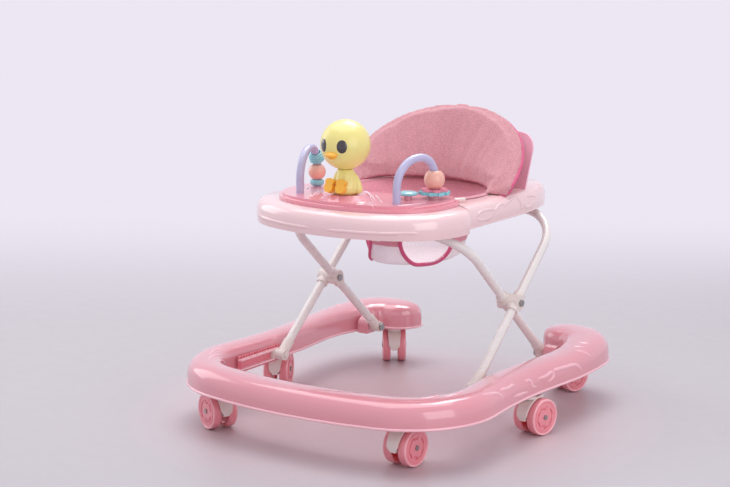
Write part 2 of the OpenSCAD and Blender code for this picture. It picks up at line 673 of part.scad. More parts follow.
// A ball of radius r with a flared hole through it
module ball_bead(r, flare) {
    a0 = asin((bead_bore + flare) / r);
    n = 16;
    rotate_extrude() polygon(concat(
        [for (k = [0:n]) let (a = a0 + (180 - 2 * a0) * k / n) [r * sin(a), -r * cos(a)]],
        [[bead_bore + flare * 0.2, r * 0.3], [bead_bore, 0], [bead_bore + flare * 0.2, -r * 0.3]]));
}
left_bead_z = toy_top + 25.8;
right_bead_z = toy_top + 33;
module bead_left() {
    color(peach) on_leg(-1, left_bead_z) ball_bead(15.5, 0.8);
}
module bead_disc() {
    color(turquoise) on_leg(-1, toy_top + 7) rotate_extrude()
        polygon([[bead_bore, -4.5], [11, -4.5], [12.5, -2], [12.5, 2], [11, 4.5], [bead_bore, 4.5]]);
}
module bead_right() {
    color(peach) on_leg(1, right_bead_z) ball_bead(18, 2.4);
}
module bead_star() {
    color(mid_pink) on_leg(1, toy_top + stack_h + 6.1) linear_extrude(3.5) difference() {
        union() {
            circle(r = 18);
            for (a = [0:60:300]) rotate(a) translate([17, 0]) circle(r = 7, $fn = 32);
        }
        circle(r = bead_bore);
    }
}
module bead_gear() {
    color(turquoise) on_leg(1, toy_top + stack_h + 0.3) linear_extrude(5.5) difference() {
        union() {
            circle(r = 23);
            for (a = [0:36:324]) rotate(a) translate([22, 0]) square([10, 7], center = true);
        }
        circle(r = bead_bore);
    }
}
spin_at = [90, -101];
module spinner_disc() {
    color(turquoise) translate([spin_at[0], spin_at[1], 0]) {
        translate([0, 0, toy_top + stack_h + 0.3]) rotate_extrude()
            polygon([[0, 0], [16, 0], [17.5, 2], [16.5, 4.5], [12, 6], [0, 6.5]]);
        translate([0, 0, toy_z + 1.5]) cylinder(d = 5, h = toy_top + stack_h - toy_z);
    }
}

// ---- Chick figure ----
chick_y = -158;
chick_z = toy_top + 9;
head_r = head_d / 2;
head_z = chick_z + 84;
module chick_body() {
    neck = [for (k = [0:5]) let (r = 13 - k * 2.6) [r, head_z - sqrt(pow(head_r, 2) - pow(r, 2)) - rest_gap]];
    color(yellow) translate([0, chick_y, 0]) {
        rotate_extrude() polygon(concat([[0, chick_z + rest_gap], [20, chick_z + rest_gap],
            [24, chick_z + 4], [25, chick_z + 11], [23, chick_z + 22], [19, chick_z + 32],
            [15, chick_z + 39]], neck));
        for (s = [-1, 1]) translate([s * 27, 3, chick_z + 1.5]) rotate([0, -s * 16, 0]) rotate_extrude()
            polygon([[0, 0], [5, 1], [7.5, 7], [7, 18], [4.5, 30], [0, 37]]);
    }
}
module chick_head() {
    color(yellow) translate([0, chick_y, head_z]) sphere(r = head_r);
    color(orange) translate([0, chick_y - head_r + 6, head_z - 13]) rotate([90, 0, 0])
        linear_extrude(9, scale = 0.45) scale([1, 0.6]) circle(r = 10);
}
module chick_feet() {
    color(orange) translate([0, chick_y, chick_z + rest_gap]) for (s = [-1, 1])
        translate([s * 11, -25.6, 13]) rotate([70, 0, s * 6]) linear_extrude(9) {
            translate([0, -2]) circle(r = 9);
            for (a = [-28, 0, 28]) rotate(a) translate([0, 9]) circle(r = 5);
        }
}

// ---- Seat sling: a soft bucket with two leg holes ----
leg_hole_r = 50;
leg_hole_turn = 47;
sling_t = 3;
// Each ring of the bucket: [share of its height, half width, half length]
BUCKET = [[0, 60, 84], [0.02, 74, 95], [0.09, 90, 100], [0.22, 103, 103], [0.45, 116, 106],
          [0.75, 126, 112], [0.87, 133.5, 121.5], [1, 133.5, 121.5]];
module seat_sling() {
    z0 = tray_z - sling_h;
    h = sling_h - 2;
    n = 48;
    m = len(BUCKET);
    k = [SEAT[0] / 134, SEAT[1] / 122];
    // Up the outside, then down the inside one thickness in
    wall_rings = concat([for (q = BUCKET) [q[1], q[2], z0 + q[0] * h]], [for (i = [m - 1:-1:0])
        let (q = BUCKET[i]) [q[1] - sling_t, q[2] - sling_t, z0 + max(q[0] * h, sling_t + i * 0.5)]]);
    pts = [for (q = wall_rings) for (i = [0:n - 1]) let (a = 360 * i / n)
        [q[0] * k[0] * cos(a), seat_y + q[1] * k[1] * sin(a), q[2]]];
    last = len(wall_rings) - 1;
    color(dusty_pink) difference() {
        polyhedron(points = pts, faces = concat([[for (i = [0:n - 1]) i]],
            [for (j = [0:last - 1]) for (i = [0:n - 1])
                [j * n + i, (j + 1) * n + i, (j + 1) * n + (i + 1) % n, j * n + (i + 1) % n]],
            [[for (i = [n - 1:-1:0]) last * n + i]]));
        for (s = [-1, 1]) translate([0, seat_y, 0]) rotate([0, 0, s * leg_hole_turn]) {
            translate([0, -82, z0 - 1 + leg_hole_r]) rotate([90, 0, 0]) cylinder(r = leg_hole_r, h = 60);
            translate([-leg_hole_r, -142, z0 - 1 + leg_hole_r])
                cube([2 * leg_hole_r, 60, h * 0.9 - leg_hole_r]);
        }
    }
}

// ---- Backrest: a curved board behind a tall cushion, both leaning back ----
back_flare = 0.37;
function pad_height(a) = 9 + (pad_h - 9) * pow(sin(a), 1.19);
// A point of the cushion: at angle a round it, a share f of its height up, o outwards
function pad_at(a, f, o) = let (h = pad_height(a) * f, n = [back_d * cos(a), back_w * sin(a)])
    [(back_w + back_flare * h) * cos(a) + o * n[0] / norm(n),
     back_y + back_d * sin(a) + back_lean * h + o * n[1] / norm(n), tray_z + rest_gap + h];
module backrest_pad() {
    foot = 26;
    m = 8;
    sides = [for (k = [0:28]) let (g = k / 14 - 1) 90 - 84 * (0.45 * g + 0.55 * sin(90 * g))];
    pts = [for (a = sides) let (b = -pad_t - foot * pow(abs(cos(a)), 0.8))
        for (q = [[0, 0.04], [0, 0.9], [-pad_t * 0.3, 1], [-pad_t * 0.7, 1],
            [-pad_t, 0.9], [b, 0.25], [b, 0.04], [b + 4, 0]])
            pad_at(a, q[1], q[0])];
    last = len(sides) - 1;
    color(dusty_pink) polyhedron(points = pts, faces = concat(
        [for (i = [0:last - 1]) for (j = [0:m - 1])
            [i * m + j, (i + 1) * m + j, i * m + (j + 1) % m]],
        [for (i = [0:last - 1]) for (j = [0:m - 1])
            [(i + 1) * m + j, (i + 1) * m + (j + 1) % m, i * m + (j + 1) % m]],
        [for (j = [1:m - 2]) [0, j, j + 1]],
        [for (j = [1:m - 2]) [last * m, last * m + j + 1, last * m + j]]));
}
board_t = 4;
board_corner = 28;
module backrest_board() {
    n = 20;
    m = 3;
    bow = 14 / pow(board_w, 2);
    face = back_y + back_d + 3;
    // The top edge falls away round each upper corner
    function top(x) = let (c = board_w - board_corner) board_h - 10 * pow(x / board_w, 2)
        - (abs(x) < c ? 0 : board_corner - sqrt(max(pow(board_corner, 2) - pow(abs(x) - c, 2), 0)));
    xs = [for (k = [-n:n]) board_w * sin(90 * k / n)];
    pts = [for (x = xs) for (s = [0, 1]) for (f = [0:m]) let (h = top(x) * (s == 0 ? f : m - f) / m)
        [x, face + s * board_t + back_lean * h - bow * x * x, tray_z + rest_gap + h]];
    k = 2 * (m + 1);
    last = len(xs) - 1;
    color(mid_pink) polyhedron(points = pts, faces = concat(
        [for (i = [0:last - 1]) for (j = [0:k - 1])
            [i * k + j, i * k + (j + 1) % k, (i + 1) * k + (j + 1) % k, (i + 1) * k + j]],
        [for (j = [0:m - 1]) [k - 1 - j, k - 2 - j, j + 1, j]],
        [for (j = [0:m - 1]) [last * k + j, last * k + j + 1, last * k + k - 2 - j, last * k + k - 1 - j]]));
}

base_shell();
base_pan();
rack_left();
rack_right();
pivot_brackets();
pivot_bolts();
for (c = CASTERS) {
    fork(c[0]);
    wheels(c[0]);
    hubs(c[0]);
    axle(c[0]);
}
inner_frame();
outer_frame();
inner_collars();
outer_collars();
crossing_bolts();
inner_leg_ends();
outer_leg_ends();
shoe_left();
shoe_right();
tray_shell();
front_guides();
rear_saddles();
toy_tray();
toy_arches();
bead_ribbed();
bead_left();
bead_disc();
bead_right();
bead_star();
bead_gear();
spinner_disc();
chick_body();
chick_head();
chick_feet();
seat_sling();
backrest_board();
backrest_pad();
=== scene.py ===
# %% [markdown]
# # A baby walker, dressed in Blender
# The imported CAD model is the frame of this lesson: its rigid parts have their shapes and places already.
# Blender adds the fabric seat and cushion, the fine raised lines in the mouldings and a finish for every
# surface. Lengths are in metres, on the model's own axes.

import json
import math

import bmesh
import bpy
import numpy as np
from mathutils import Matrix, Vector
from mathutils.bvhtree import BVHTree


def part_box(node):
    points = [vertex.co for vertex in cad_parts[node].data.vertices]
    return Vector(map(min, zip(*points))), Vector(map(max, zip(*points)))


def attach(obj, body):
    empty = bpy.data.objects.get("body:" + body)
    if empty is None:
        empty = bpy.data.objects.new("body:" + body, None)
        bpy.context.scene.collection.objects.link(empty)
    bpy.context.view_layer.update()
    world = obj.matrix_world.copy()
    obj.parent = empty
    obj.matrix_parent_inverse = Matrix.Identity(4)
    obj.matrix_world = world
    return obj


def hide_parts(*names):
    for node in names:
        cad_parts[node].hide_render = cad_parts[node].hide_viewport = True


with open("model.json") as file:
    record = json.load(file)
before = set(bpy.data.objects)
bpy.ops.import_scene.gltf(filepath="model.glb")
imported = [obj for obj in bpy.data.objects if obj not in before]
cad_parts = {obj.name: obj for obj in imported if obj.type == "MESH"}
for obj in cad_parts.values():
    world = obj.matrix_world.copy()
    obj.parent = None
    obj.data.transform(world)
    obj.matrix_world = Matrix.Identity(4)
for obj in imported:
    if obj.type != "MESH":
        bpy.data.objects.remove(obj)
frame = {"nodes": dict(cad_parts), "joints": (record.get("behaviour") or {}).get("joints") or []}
bpy.context.view_layer.update()
bpy.ops.object.select_all(action="DESELECT")
MM = 0.001
scene = bpy.context.scene
nodes = frame["nodes"]

# %% [markdown]
# ## The camera
# The camera looks from a little above the tray through a long lens, which keeps the base and the seat in
# proportion. It is set by where it stands and by two directions.

# %% Place the camera
CAMERA_PLACE = Vector((1.6258, -2.5107, 0.8765))
CAMERA_FORWARD = Vector((-0.5490, 0.8148, -0.1860)).normalized()
CAMERA_RIGHT = Vector((0.8290, 0.5592, 0.0025)).normalized()
CAMERA_LENS, CAMERA_SENSOR = 83.7, 36.0  # millimetres: a long lens on a full-frame sensor


def linked(name, data):
    """A new object with that data, in the scene."""
    obj = bpy.data.objects.new(name, data)
    scene.collection.objects.link(obj)
    return obj


camera = linked("camera", bpy.data.cameras.new("camera"))
camera_up = CAMERA_RIGHT.cross(CAMERA_FORWARD).normalized()
turn = Matrix((CAMERA_RIGHT, camera_up, -CAMERA_FORWARD)).transposed()
camera.matrix_world = Matrix.Translation(CAMERA_PLACE) @ turn.to_4x4()
camera.data.sensor_width = CAMERA_SENSOR
camera.data.lens = CAMERA_LENS
camera.data.clip_start = 0.05
camera.data.clip_end = 200
scene.camera = camera
scene.view_settings.view_transform = "Standard"

# %% [markdown]
# ## Writing materials as sums
# A material in Blender is a net of nodes, and a long net is hard to read. One small class stands for a node's
# output and turns ordinary Python sums into Math nodes. A second holds the net and adds all other nodes.

# %% Two helpers for materials
def srgb(red, green, blue):
    """A colour, 0 to 255, as the linear numbers that a shader wants."""
    def linear(level):
        level = level / 255
        return level / 12.92 if level <= 0.04045 else ((level + 0.055) / 1.055) ** 2.4
    return (linear(red), linear(green), linear(blue), 1.0)


def tinted(colour, factor):
    """The same colour, lighter or darker."""
    return tuple(min(1.0, c * factor) for c in colour[:3]) + (1.0,)


def joins(operation, swapped=False):
    """A method that joins two values with a Math node."""
    def method(self, other):
        return self.finish.sum(operation, *((other, self) if swapped else (self, other)))
    return method


class Value:
    """One output of a node. A sum written with it adds Math nodes."""

    def __init__(self, finish, socket):
        self.finish = finish
        self.socket = socket

    __add__, __radd__ = joins("ADD"), joins("ADD", swapped=True)
    __sub__, __rsub__ = joins("SUBTRACT"), joins("SUBTRACT", swapped=True)
    __mul__ = joins("MULTIPLY")
    __gt__, __lt__ = joins("GREATER_THAN"), joins("LESS_THAN")


class Finish:
    """A material, or the world, while it is being written."""

    def __init__(self, name, block=None):
        self.block = block or bpy.data.materials.new(name)
        self.block.use_nodes = True
        self.tree = self.block.node_tree
        self.tree.nodes.clear()

    def node(self, kind, inputs=None, out=0, **settings):
        """Adds a node with its settings, and gives each named or numbered input its value or link."""
        made = self.tree.nodes.new("ShaderNode" + kind)
        for name, value in settings.items():
            setattr(made, name, value)
        for name, value in (inputs or {}).items():
            if isinstance(value, Value):
                self.tree.links.new(value.socket, made.inputs[name])
            else:
                made.inputs[name].default_value = value
        return Value(self, made.outputs[out]) if made.outputs else made

    def sum(self, operation, *parts):
        return self.node("Math", dict(enumerate(parts)), operation=operation)

    def place(self):
        return self.node("TexCoord", out="Object")

    def height(self):
        return self.node("SeparateXYZ", {"Vector": self.place()}, out="Z")

    def noise(self, scale, detail=2.0, rough=0.5, where=None):
        """Cloudy noise from 0 to 1; scale is in lumps per metre."""
        return self.node("TexNoise", {"Vector": where or self.place(), "Scale": scale, "Detail": detail,
                                      "Roughness": rough})

    def cells(self, scale, disorder, where=None):
        """The distance to the middle of the nearest cell, in cells; scale is in cells per metre."""
        return self.node("TexVoronoi", {"Vector": where or self.place(), "Scale": scale,
                                        "Randomness": disorder})

    def ramp(self, value, low, high, to_low=0.0, to_high=1.0, **settings):
        """Takes value from low..high to to_low..to_high, and holds it at both ends."""
        return self.node("MapRange", {"Value": value, "From Min": low, "From Max": high, "To Min": to_low,
                                      "To Max": to_high}, clamp=True, **settings)

    def patchy(self, scale, low, high, detail=3):
        """Slow patches of a value that goes from low to high."""
        return self.ramp(self.noise(scale, detail), 0.3, 0.7, low, high)

    def blend(self, factor, first, second):
        """One colour becomes another as factor goes from 0 to 1."""
        return self.node("Mix", {"Factor": factor, 6: first, 7: second}, out=2, data_type="RGBA")

    def around(self, factor, colour, darker, lighter):
        """A colour that wanders between two tints of itself as factor goes from 0 to 1."""
        return self.blend(factor, tinted(colour, darker), tinted(colour, lighter))

    def bump(self, height, strength, distance):
        return self.node("Bump", {"Strength": strength, "Distance": distance, "Height": height})

    def close(self, **sockets):
        """Joins a Principled surface to the output; names are the sockets' own, with _ for a blank."""
        inputs = {name.replace("_", " "): value for name, value in sockets.items()}
        self.node("OutputMaterial", {"Surface": self.node("BsdfPrincipled", inputs)})
        return self.block


# %% [markdown]
# ## The room
# The walker stands on a pale floor under one wide soft lamp. A weaker lamp stands at its front right, a faint
# one at its left, and a fourth behind it shows in reflections alone. The floor's far part glows in the
# backdrop's colour, so it turns into the backdrop without an edge, seen from any side. Under the walker a
# pink is painted into the floor's colour, a painted reflection of the pink walker above it.

# %% Floor, lamps and sky
BACKDROP = srgb(236, 231, 243)
FLOOR = srgb(188, 182, 187)
# The pink of a painted reflection on the floor under the walker
PAINTED_PINK_REFLECTION = srgb(234, 196, 203)
SKY, SKY_POWER = (0.93, 0.94, 1.0, 1.0), 0.72
# Distances from the walker's middle, in metres, over which the floor changes
GLOW_BEHIND, GLOW_AROUND = (0.35, 2.2), (1.0, 3.0)
# Where the painted pink reflection fades out, and its strongest share
PAINTED_REFLECTION_REACH, PAINTED_REFLECTION_MOST = (0.05, 0.50), 0.8

bpy.ops.mesh.primitive_plane_add(size=120, location=(0, 0, -0.2 * MM))
floor = bpy.context.object
floor.name = "floor"
bpy.ops.object.transform_apply(location=True, rotation=True, scale=True)
net = Finish("studio_floor")
behind = net.node("VectorMath", {0: net.place(), 1: (CAMERA_FORWARD.x, CAMERA_FORWARD.y, 0)}, out="Value",
                  operation="DOT_PRODUCT")
away = net.node("VectorMath", {0: net.place()}, out="Value", operation="LENGTH")
glows = [net.ramp(distance, *reach, interpolation_type="SMOOTHERSTEP")
         for distance, reach in ((behind, GLOW_BEHIND), (away, GLOW_AROUND))]
# Near the walker's middle the floor's colour turns pink: a painted reflection of the walker
ground = net.node("BsdfPrincipled", {
    "Base Color": net.blend(net.ramp(away, *PAINTED_REFLECTION_REACH, PAINTED_REFLECTION_MOST, 0.0),
                            net.around(net.noise(1.4, 3), FLOOR, 0.98, 1.02), PAINTED_PINK_REFLECTION),
    "Roughness": net.patchy(30, 0.40, 0.48, detail=4),
    "Normal": net.bump(net.noise(900, 2), 0.05, 0.2 * MM)})
glow = net.node("Emission", {"Color": BACKDROP, "Strength": 1.0})
far = net.sum("MAXIMUM", *glows)
net.node("OutputMaterial", {"Surface": net.node("MixShader", {0: far, 1: ground, 2: glow})})
floor.data.materials.append(net.block)

world = bpy.data.worlds.new("studio_world")
scene.world = world
net = Finish("studio_world", world)
seen, mirrored, through = (net.node("LightPath", out="Is %s Ray" % kind)
                           for kind in ("Camera", "Glossy", "Transmission"))
shown = net.sum("MAXIMUM", seen, net.sum("MAXIMUM", mirrored, through))
sky = net.node("Background", {"Color": SKY, "Strength": SKY_POWER})
wall = net.node("Background", {"Color": BACKDROP, "Strength": 1.0})
net.node("OutputWorld", {"Surface": net.node("MixShader", {0: shown, 1: sky, 2: wall})})


def softbox(name, place, aim_height, size, power, only_gloss=False):
    """A square lamp aimed at that height over the middle; only_gloss leaves it to reflections alone."""
    lamp = bpy.data.lights.new(name, "AREA")
    lamp.size = size
    lamp.energy = power
    holder = linked(name, lamp)
    holder.location = place
    holder.rotation_euler = (Vector((0, 0, aim_height)) - Vector(place)).to_track_quat("-Z", "Y").to_euler()
    holder.visible_diffuse = not only_gloss


softbox("lamp_above", (-0.3, 0.2, 2.3), 0.2, size=2.4, power=34)
softbox("lamp_front", (2.9, -1.1, 1.2), 0.25, size=2.0, power=22)
softbox("lamp_left", (-2.4, -0.3, 1.2), 0.2, size=1.4, power=9)
softbox("lamp_gleam", (-0.2, 0.9, 2.0), 0.2, size=1.1, power=16, only_gloss=True)

# %% [markdown]
# ## Moulded plastic
# Nearly all of a walker is moulded plastic, which is never one flat colour: the melt leaves slow clouds of
# pigment, the skin has a fine orange-peel ripple that breaks up reflections, and handling leaves faint dull
# patches. The racks' own finish paints two pale bands beside their rows of holes, a painted highlight.

# %% Plastic finishes
def moulding(name, colour, rough, coat, cloud=0.02):
    """Moulded plastic; cloud is how far its colour wanders."""
    net = Finish(name)
    wander = net.noise(5) * 0.8 + net.noise(40) * 0.2
    dull = net.patchy(16, 0, 1)
    skin = net.noise(260, 1, 0.4) * 0.7 + net.noise(1600, 1, 0.5) * 0.3
    return net.close(
        Base_Color=net.around(net.ramp(wander, 0.3, 0.7), colour, 1 - cloud, 1 + cloud),
        Roughness=dull * 0.05 + rough,
        Coat_Weight=net.ramp(dull, 0, 1, coat, coat * 0.8),
        Coat_Roughness=0.06,
        Coat_IOR=1.6,
        Normal=net.bump(skin, 0.03, 0.3 * MM))


def highlight_banded(name, colour, highlight_colour, middle, inner, outer):
    """Gloss plastic with painted highlight bands above and below the height middle, inner to outer metres off
    it.
    """
    net = Finish(name)
    off = net.sum("ABSOLUTE", net.height() - middle)
    painted_highlight = (off > inner) * (off < outer)
    return net.close(
        Base_Color=net.blend(painted_highlight, net.around(net.noise(20, 2), colour, 0.97, 1.03), highlight_colour),
        Roughness=net.patchy(60, 0.24, 0.34),
        Coat_Weight=0.6,
        Normal=net.bump(net.noise(900, 2), 0.03, 0.3 * MM))


# Each finish: its name in Blender, its colour, and the amounts that moulding() takes
PLASTICS = {
    "base": ("base_gloss_pink", (226, 149, 160), 0.2, 1.0),
    "tray": ("tray_pale_pink", (243, 206, 208), 0.2, 1.0),
    "toy_tray": ("toy_tray_rose", (236, 152, 166), 0.22, 0.8),
    # The next two colour the base's raised lines and rim bead lighter than the shell: a painted highlight
    "base_ridge": ("base_ridge_pink", (246, 180, 192), 0.15, 1.0),
    "lip_highlight": ("rim_light_pink", (250, 190, 201), 0.15, 1.0),
    # The next two colour the toy tray's lines and zigzags lighter than the toy tray: a painted highlight
    "toy_line_highlight": ("toy_tray_line", (246, 176, 188), 0.15, 1.0),
    "ridge": ("toy_tray_ridge", (255, 206, 216), 0.15, 1.0),
    "board": ("board_rose", (250, 184, 203), 0.25, 0.8),
    "cream": ("cream_moulding", (232, 220, 214), 0.34, 0.2),
    "wheel": ("wheel_pink", (240, 146, 156), 0.3, 0.4),
    # The wheel's rim ring is coloured lighter, a painted highlight, and its inner lines deeper, a painted
    # shade
    "wheel_rim": ("wheel_rim_light", (252, 182, 190), 0.2, 0.8),
    "wheel_line": ("wheel_line_rose", (226, 104, 122), 0.3, 0.4),
    "red": ("hub_red", (240, 66, 76), 0.3, 0.3),
    "hole": ("rack_hole_dark", (170, 52, 68), 0.5, 0.1),
    "lilac": ("rail_lilac", (186, 182, 214), 0.32, 0.3),
    "turquoise": ("bead_turquoise", (136, 205, 214), 0.28, 0.4),
    "peach": ("bead_peach", (236, 176, 158), 0.26, 0.4),
    "star": ("star_rose", (232, 136, 158), 0.3, 0.3),
    "yellow": ("chick_yellow", (240, 226, 138), 0.3, 0.35, 0.03),
    "orange": ("chick_orange", (250, 182, 52), 0.3, 0.35),
    "eye": ("eye_dark_brown", (46, 34, 34), 0.12, 1.0, 0.2),
}
finishes = {key: moulding(name, srgb(*colour), *amounts)
            for key, (name, colour, *amounts) in PLASTICS.items()}
rack_low, rack_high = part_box("rack_right")
RACK_Z = (rack_low.z + rack_high.z) / 2
# The rack's pale bands are a painted highlight where its lips catch the light
finishes["rack"] = highlight_banded("rack_rose_painted_highlight", srgb(232, 128, 142), srgb(250, 206, 212), RACK_Z, 7.1 * MM, 10.3 * MM)

# %% [markdown]
# ## Enamelled tube and bare steel
# The legs are steel tube under white enamel, which is smoother than plastic. The pins are bare steel with
# fine turned rings.

# %% Metal finishes
def enamel(name, colour):
    """White enamel on a tube."""
    net = Finish(name)
    return net.close(
        Base_Color=net.around(net.patchy(9, 0, 1), colour, 0.97, 1.02),
        Roughness=net.patchy(60, 0.22, 0.32),
        Coat_Weight=0.6,
        Coat_Roughness=0.06,
        Normal=net.bump(net.noise(26, 2) * 0.7 + net.noise(900, 2) * 0.3, 0.03, 0.3 * MM))


def turned_steel(name):
    """Bare steel with the fine rings that a lathe leaves."""
    net = Finish(name)
    rings = net.node("TexWave", {"Vector": net.place(), "Scale": 900.0, "Distortion": 0.6, "Detail": 2.0},
                     wave_type="RINGS")
    return net.close(
        Base_Color=net.blend(rings, srgb(150, 147, 148), srgb(176, 173, 172)),
        Metallic=1.0,
        Roughness=net.patchy(300, 0.28, 0.42),
        Normal=net.bump(rings, 0.06, 0.1 * MM))


finishes["enamel"] = enamel("tube_white_enamel", srgb(233, 226, 223))
finishes["steel"] = turned_steel("pin_steel")

# %% Paint the CAD nodes
PAINT = {
    "base": ["base_shell", "base_pan", "pivot_brackets"],
    "rack": ["rack_left", "rack_right"],
    "tray": ["tray_shell"],
    "cream": ["front_guides", "rear_saddles", "inner_collars", "outer_collars", "inner_leg_ends",
              "outer_leg_ends", "shoe_left", "shoe_right"],
    "toy_tray": ["toy_tray"],
    "lilac": ["toy_arches"],
    "turquoise": ["bead_ribbed", "bead_disc", "bead_gear", "spinner_disc"],
    "peach": ["bead_left", "bead_right"],
    "star": ["bead_star"],
    "yellow": ["chick_body", "chick_head"],
    "orange": ["chick_feet"],
    "board": ["backrest_board"],
    "enamel": ["inner_frame", "outer_frame"],
    "steel": ["pivot_bolts", "crossing_bolts"],
}
CASTERS = ("fl", "fr", "ml", "mr", "rl", "rr")
CASTER_PAINT = {"fork_": "cream", "wheels_": "wheel", "hubs_": "red", "axle_": "steel"}


def paint(obj, finish):
    """Puts one finish on the whole of obj."""
    obj.data.materials.clear()
    obj.data.materials.append(finishes[finish])


for finish, names in PAINT.items():
    for name in names:
        paint(nodes[name], finish)
for which in CASTERS:
    for part, finish in CASTER_PAINT.items():
        paint(nodes[part + which], finish)
print("finishes so far:", len(finishes))

# %% [markdown]
# ## Helpers for modelling
# Blender's tools act on whatever is selected, so each step first selects its own piece alone. A new piece is
# finished by putting its place into its mesh, which leaves its object unturned at the origin.

# %% Select, settle and fasten
def only(obj):
    """Selects this piece alone."""
    bpy.ops.object.select_all(action="DESELECT")
    obj.select_set(True)
    bpy.context.view_layer.objects.active = obj


def edit_mode(obj, action="SELECT"):
    """Enters Edit Mode on this piece alone, with all of it selected or none."""
    only(obj)
    bpy.ops.object.mode_set(mode="EDIT")
    bpy.ops.mesh.select_all(action=action)


def object_mode():
    bpy.ops.object.mode_set(mode="OBJECT")


def settle(obj, name, finish, smooth=35):
    """Names and paints a new piece, and puts its place into its mesh."""
    only(obj)
    obj.name = name
    bpy.ops.object.transform_apply(location=True, rotation=True, scale=True)
    bpy.ops.object.shade_smooth_by_angle(angle=math.radians(smooth))
    paint(obj, finish)
    return obj


def add_modifier(obj, kind, **settings):
    """Adds a modifier and applies it at once."""
    only(obj)
    made = obj.modifiers.new(kind.lower(), kind)
    for name, value in settings.items():
        setattr(made, name, value)
    bpy.ops.object.modifier_apply(modifier=made.name)


def fasten(body, slot, *pieces):
    """Lets pieces ride on one body. The slot is not used."""
    for piece in pieces:
        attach(piece, body)


def merged_copy(node, name, finish, smooth=35):
    """A new piece with a CAD node's shape, its loose triangles merged."""
    obj = linked(name, nodes[node].data.copy())
    edit_mode(obj)
    bpy.ops.mesh.customdata_custom_splitnormals_clear()
    bpy.ops.mesh.remove_doubles(threshold=0.02 * MM)
    object_mode()
    return settle(obj, name, finish, smooth)


THIN_END = 0.25  # how thick a tapered bar's tip is, as a share of its full thickness


def tube_through(name, runs, radius, finish, closed=False, round_steps=3, taper=0):
    """Round bars that follow the given runs of places; taper is how many places at each end thin out."""
    line = bpy.data.curves.new(name, "CURVE")
    line.dimensions = "3D"
    line.bevel_depth = radius
    line.bevel_resolution = round_steps
    line.use_fill_caps = not closed
    for places in runs:
        run = line.splines.new("POLY")
        run.points.add(len(places) - 1)
        for k, (spot, at) in enumerate(zip(run.points, places)):
            spot.co = (*at, 1.0)
            from_end = min(k, len(places) - 1 - k)
            spot.radius = THIN_END + (1 - THIN_END) * from_end / taper if from_end < taper else 1.0
        run.use_cyclic_u = closed
    only(linked(name, line))
    bpy.ops.object.convert(target="MESH")
    return settle(bpy.context.object, name, finish, 60)


def skin_of(obj):
    """A piece's surface, which can be asked where it is nearest or where a ray meets it."""
    return BVHTree.FromObject(obj, bpy.context.evaluated_depsgraph_get())


def smooth_run(places, steps):
    """More places between the given ones, on one smooth curve through them all."""
    ends = [places[0] * 2 - places[1]] + list(places) + [places[-1] * 2 - places[-2]]
    run = []
    for a, b, c, d in zip(ends, ends[1:], ends[2:], ends[3:]):
        for k in range(steps):
            t = k / steps
            run.append(0.5 * (2 * b + (c - a) * t + (2 * a - 5 * b + 4 * c - d) * t ** 2
                              + (3 * b - a - 3 * c + d) * t ** 3))
    return run + [places[-1]]


def evened(run, passes, closed=False):
    """Smooths a run of places along its length. One that isn't closed keeps its ends."""
    for _ in range(passes):
        ring = [(a + b * 2 + c) / 4 for a, b, c in zip(run[-1:] + run[:-1], run, run[1:] + run[:1])]
        run = ring if closed else run[:1] + ring[1:-1] + run[-1:]
    return run


RAY_START, RAY_REACH = 12 * MM, 30 * MM


def laid_on(skin, places, sink, steps):
    """Smooths a run of places in millimetres, and lays it on a surface, sunk by that much."""
    at = [Vector(p) * MM for p in places]
    out = [skin.find_nearest(p)[1] for p in at]
    run = []
    for p, n in zip(smooth_run(at, steps), smooth_run(out, steps)):
        n = n.normalized()
        hit = skin.ray_cast(p + n * RAY_START, -n, RAY_REACH)[0]
        run.append((hit or p) - n * sink)
    return run


def both_sides(runs):
    """The same runs, and their mirror images across the middle of the walker."""
    return runs + [[(-x, y, z) for x, y, z in run] for run in runs]


# %% [markdown]
# ## The two big mouldings
# The base and the tray are lofted shells made of small flat facets. A merged copy lets Blender shade across
# the facets while the rims stay crisp, so reflections run along the shells in long clean streaks.

# %% Base and tray shells
base = merged_copy("base_shell", "base_moulding", "base", 32)
fasten("base", "base_plastic", base)
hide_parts("base_shell")
tray = merged_copy("tray_shell", "tray_moulding", "tray", 32)
fasten("tray_body", "tray_plastic", tray)
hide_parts("tray_shell")
print("shell faces", len(base.data.polygons) + len(tray.data.polygons))

# %% [markdown]
# ## Raised lines in the mouldings
# Large mouldings carry raised lines, which stiffen the wall and catch the light. Each is a thin round bar,
# laid on the shell and sunk to most of its thickness, with thinned ends. The lines are listed for one side
# in millimetres, and are mirrored. A bead runs all the way round each shell's lower edge. On the base the
# lines and the bead are coloured lighter than the shell, a painted highlight.

# %% Lines on the base
BASE_LINES = [
    [(235, -246, 120), (251, -214, 120), (254, -193, 120), (246, -184, 118)],
    [(213, -275, 120), (228, -247, 120), (232, -224, 118), (232, -208, 113)],
    [(198, -263, 118), (214, -236, 113), (227, -211, 103), (233, -189, 93)],
    [(282, -185, 117), (286, -156, 114), (289, -130, 109), (292, -121, 101), (293, -120, 90)],
    [(286, -126, 112), (286, -106, 110), (285, -87, 108), (284, -70, 109), (288, -70, 101)],
    [(291, -97, 93), (289, -53, 89), (290, -4, 86)],
    [(284, -44, 107), (286, -15, 105), (290, -9, 93), (291, 13, 89)],
    [(287, -10, 104), (290, 32, 101), (291, 56, 104), (294, 56, 94), (291, 22, 88)],
    [(291, 56, 104), (292, 73, 106), (296, 104, 105), (299, 132, 102), (302, 146, 92), (302, 147, 84)],
    [(256, 207, 122), (275, 214, 122), (289, 223, 116)],
    [(277, 161, 120), (288, 173, 117), (297, 187, 108), (300, 194, 101)],
    [(262, 180, 122), (276, 187, 121), (287, 200, 117)],
]


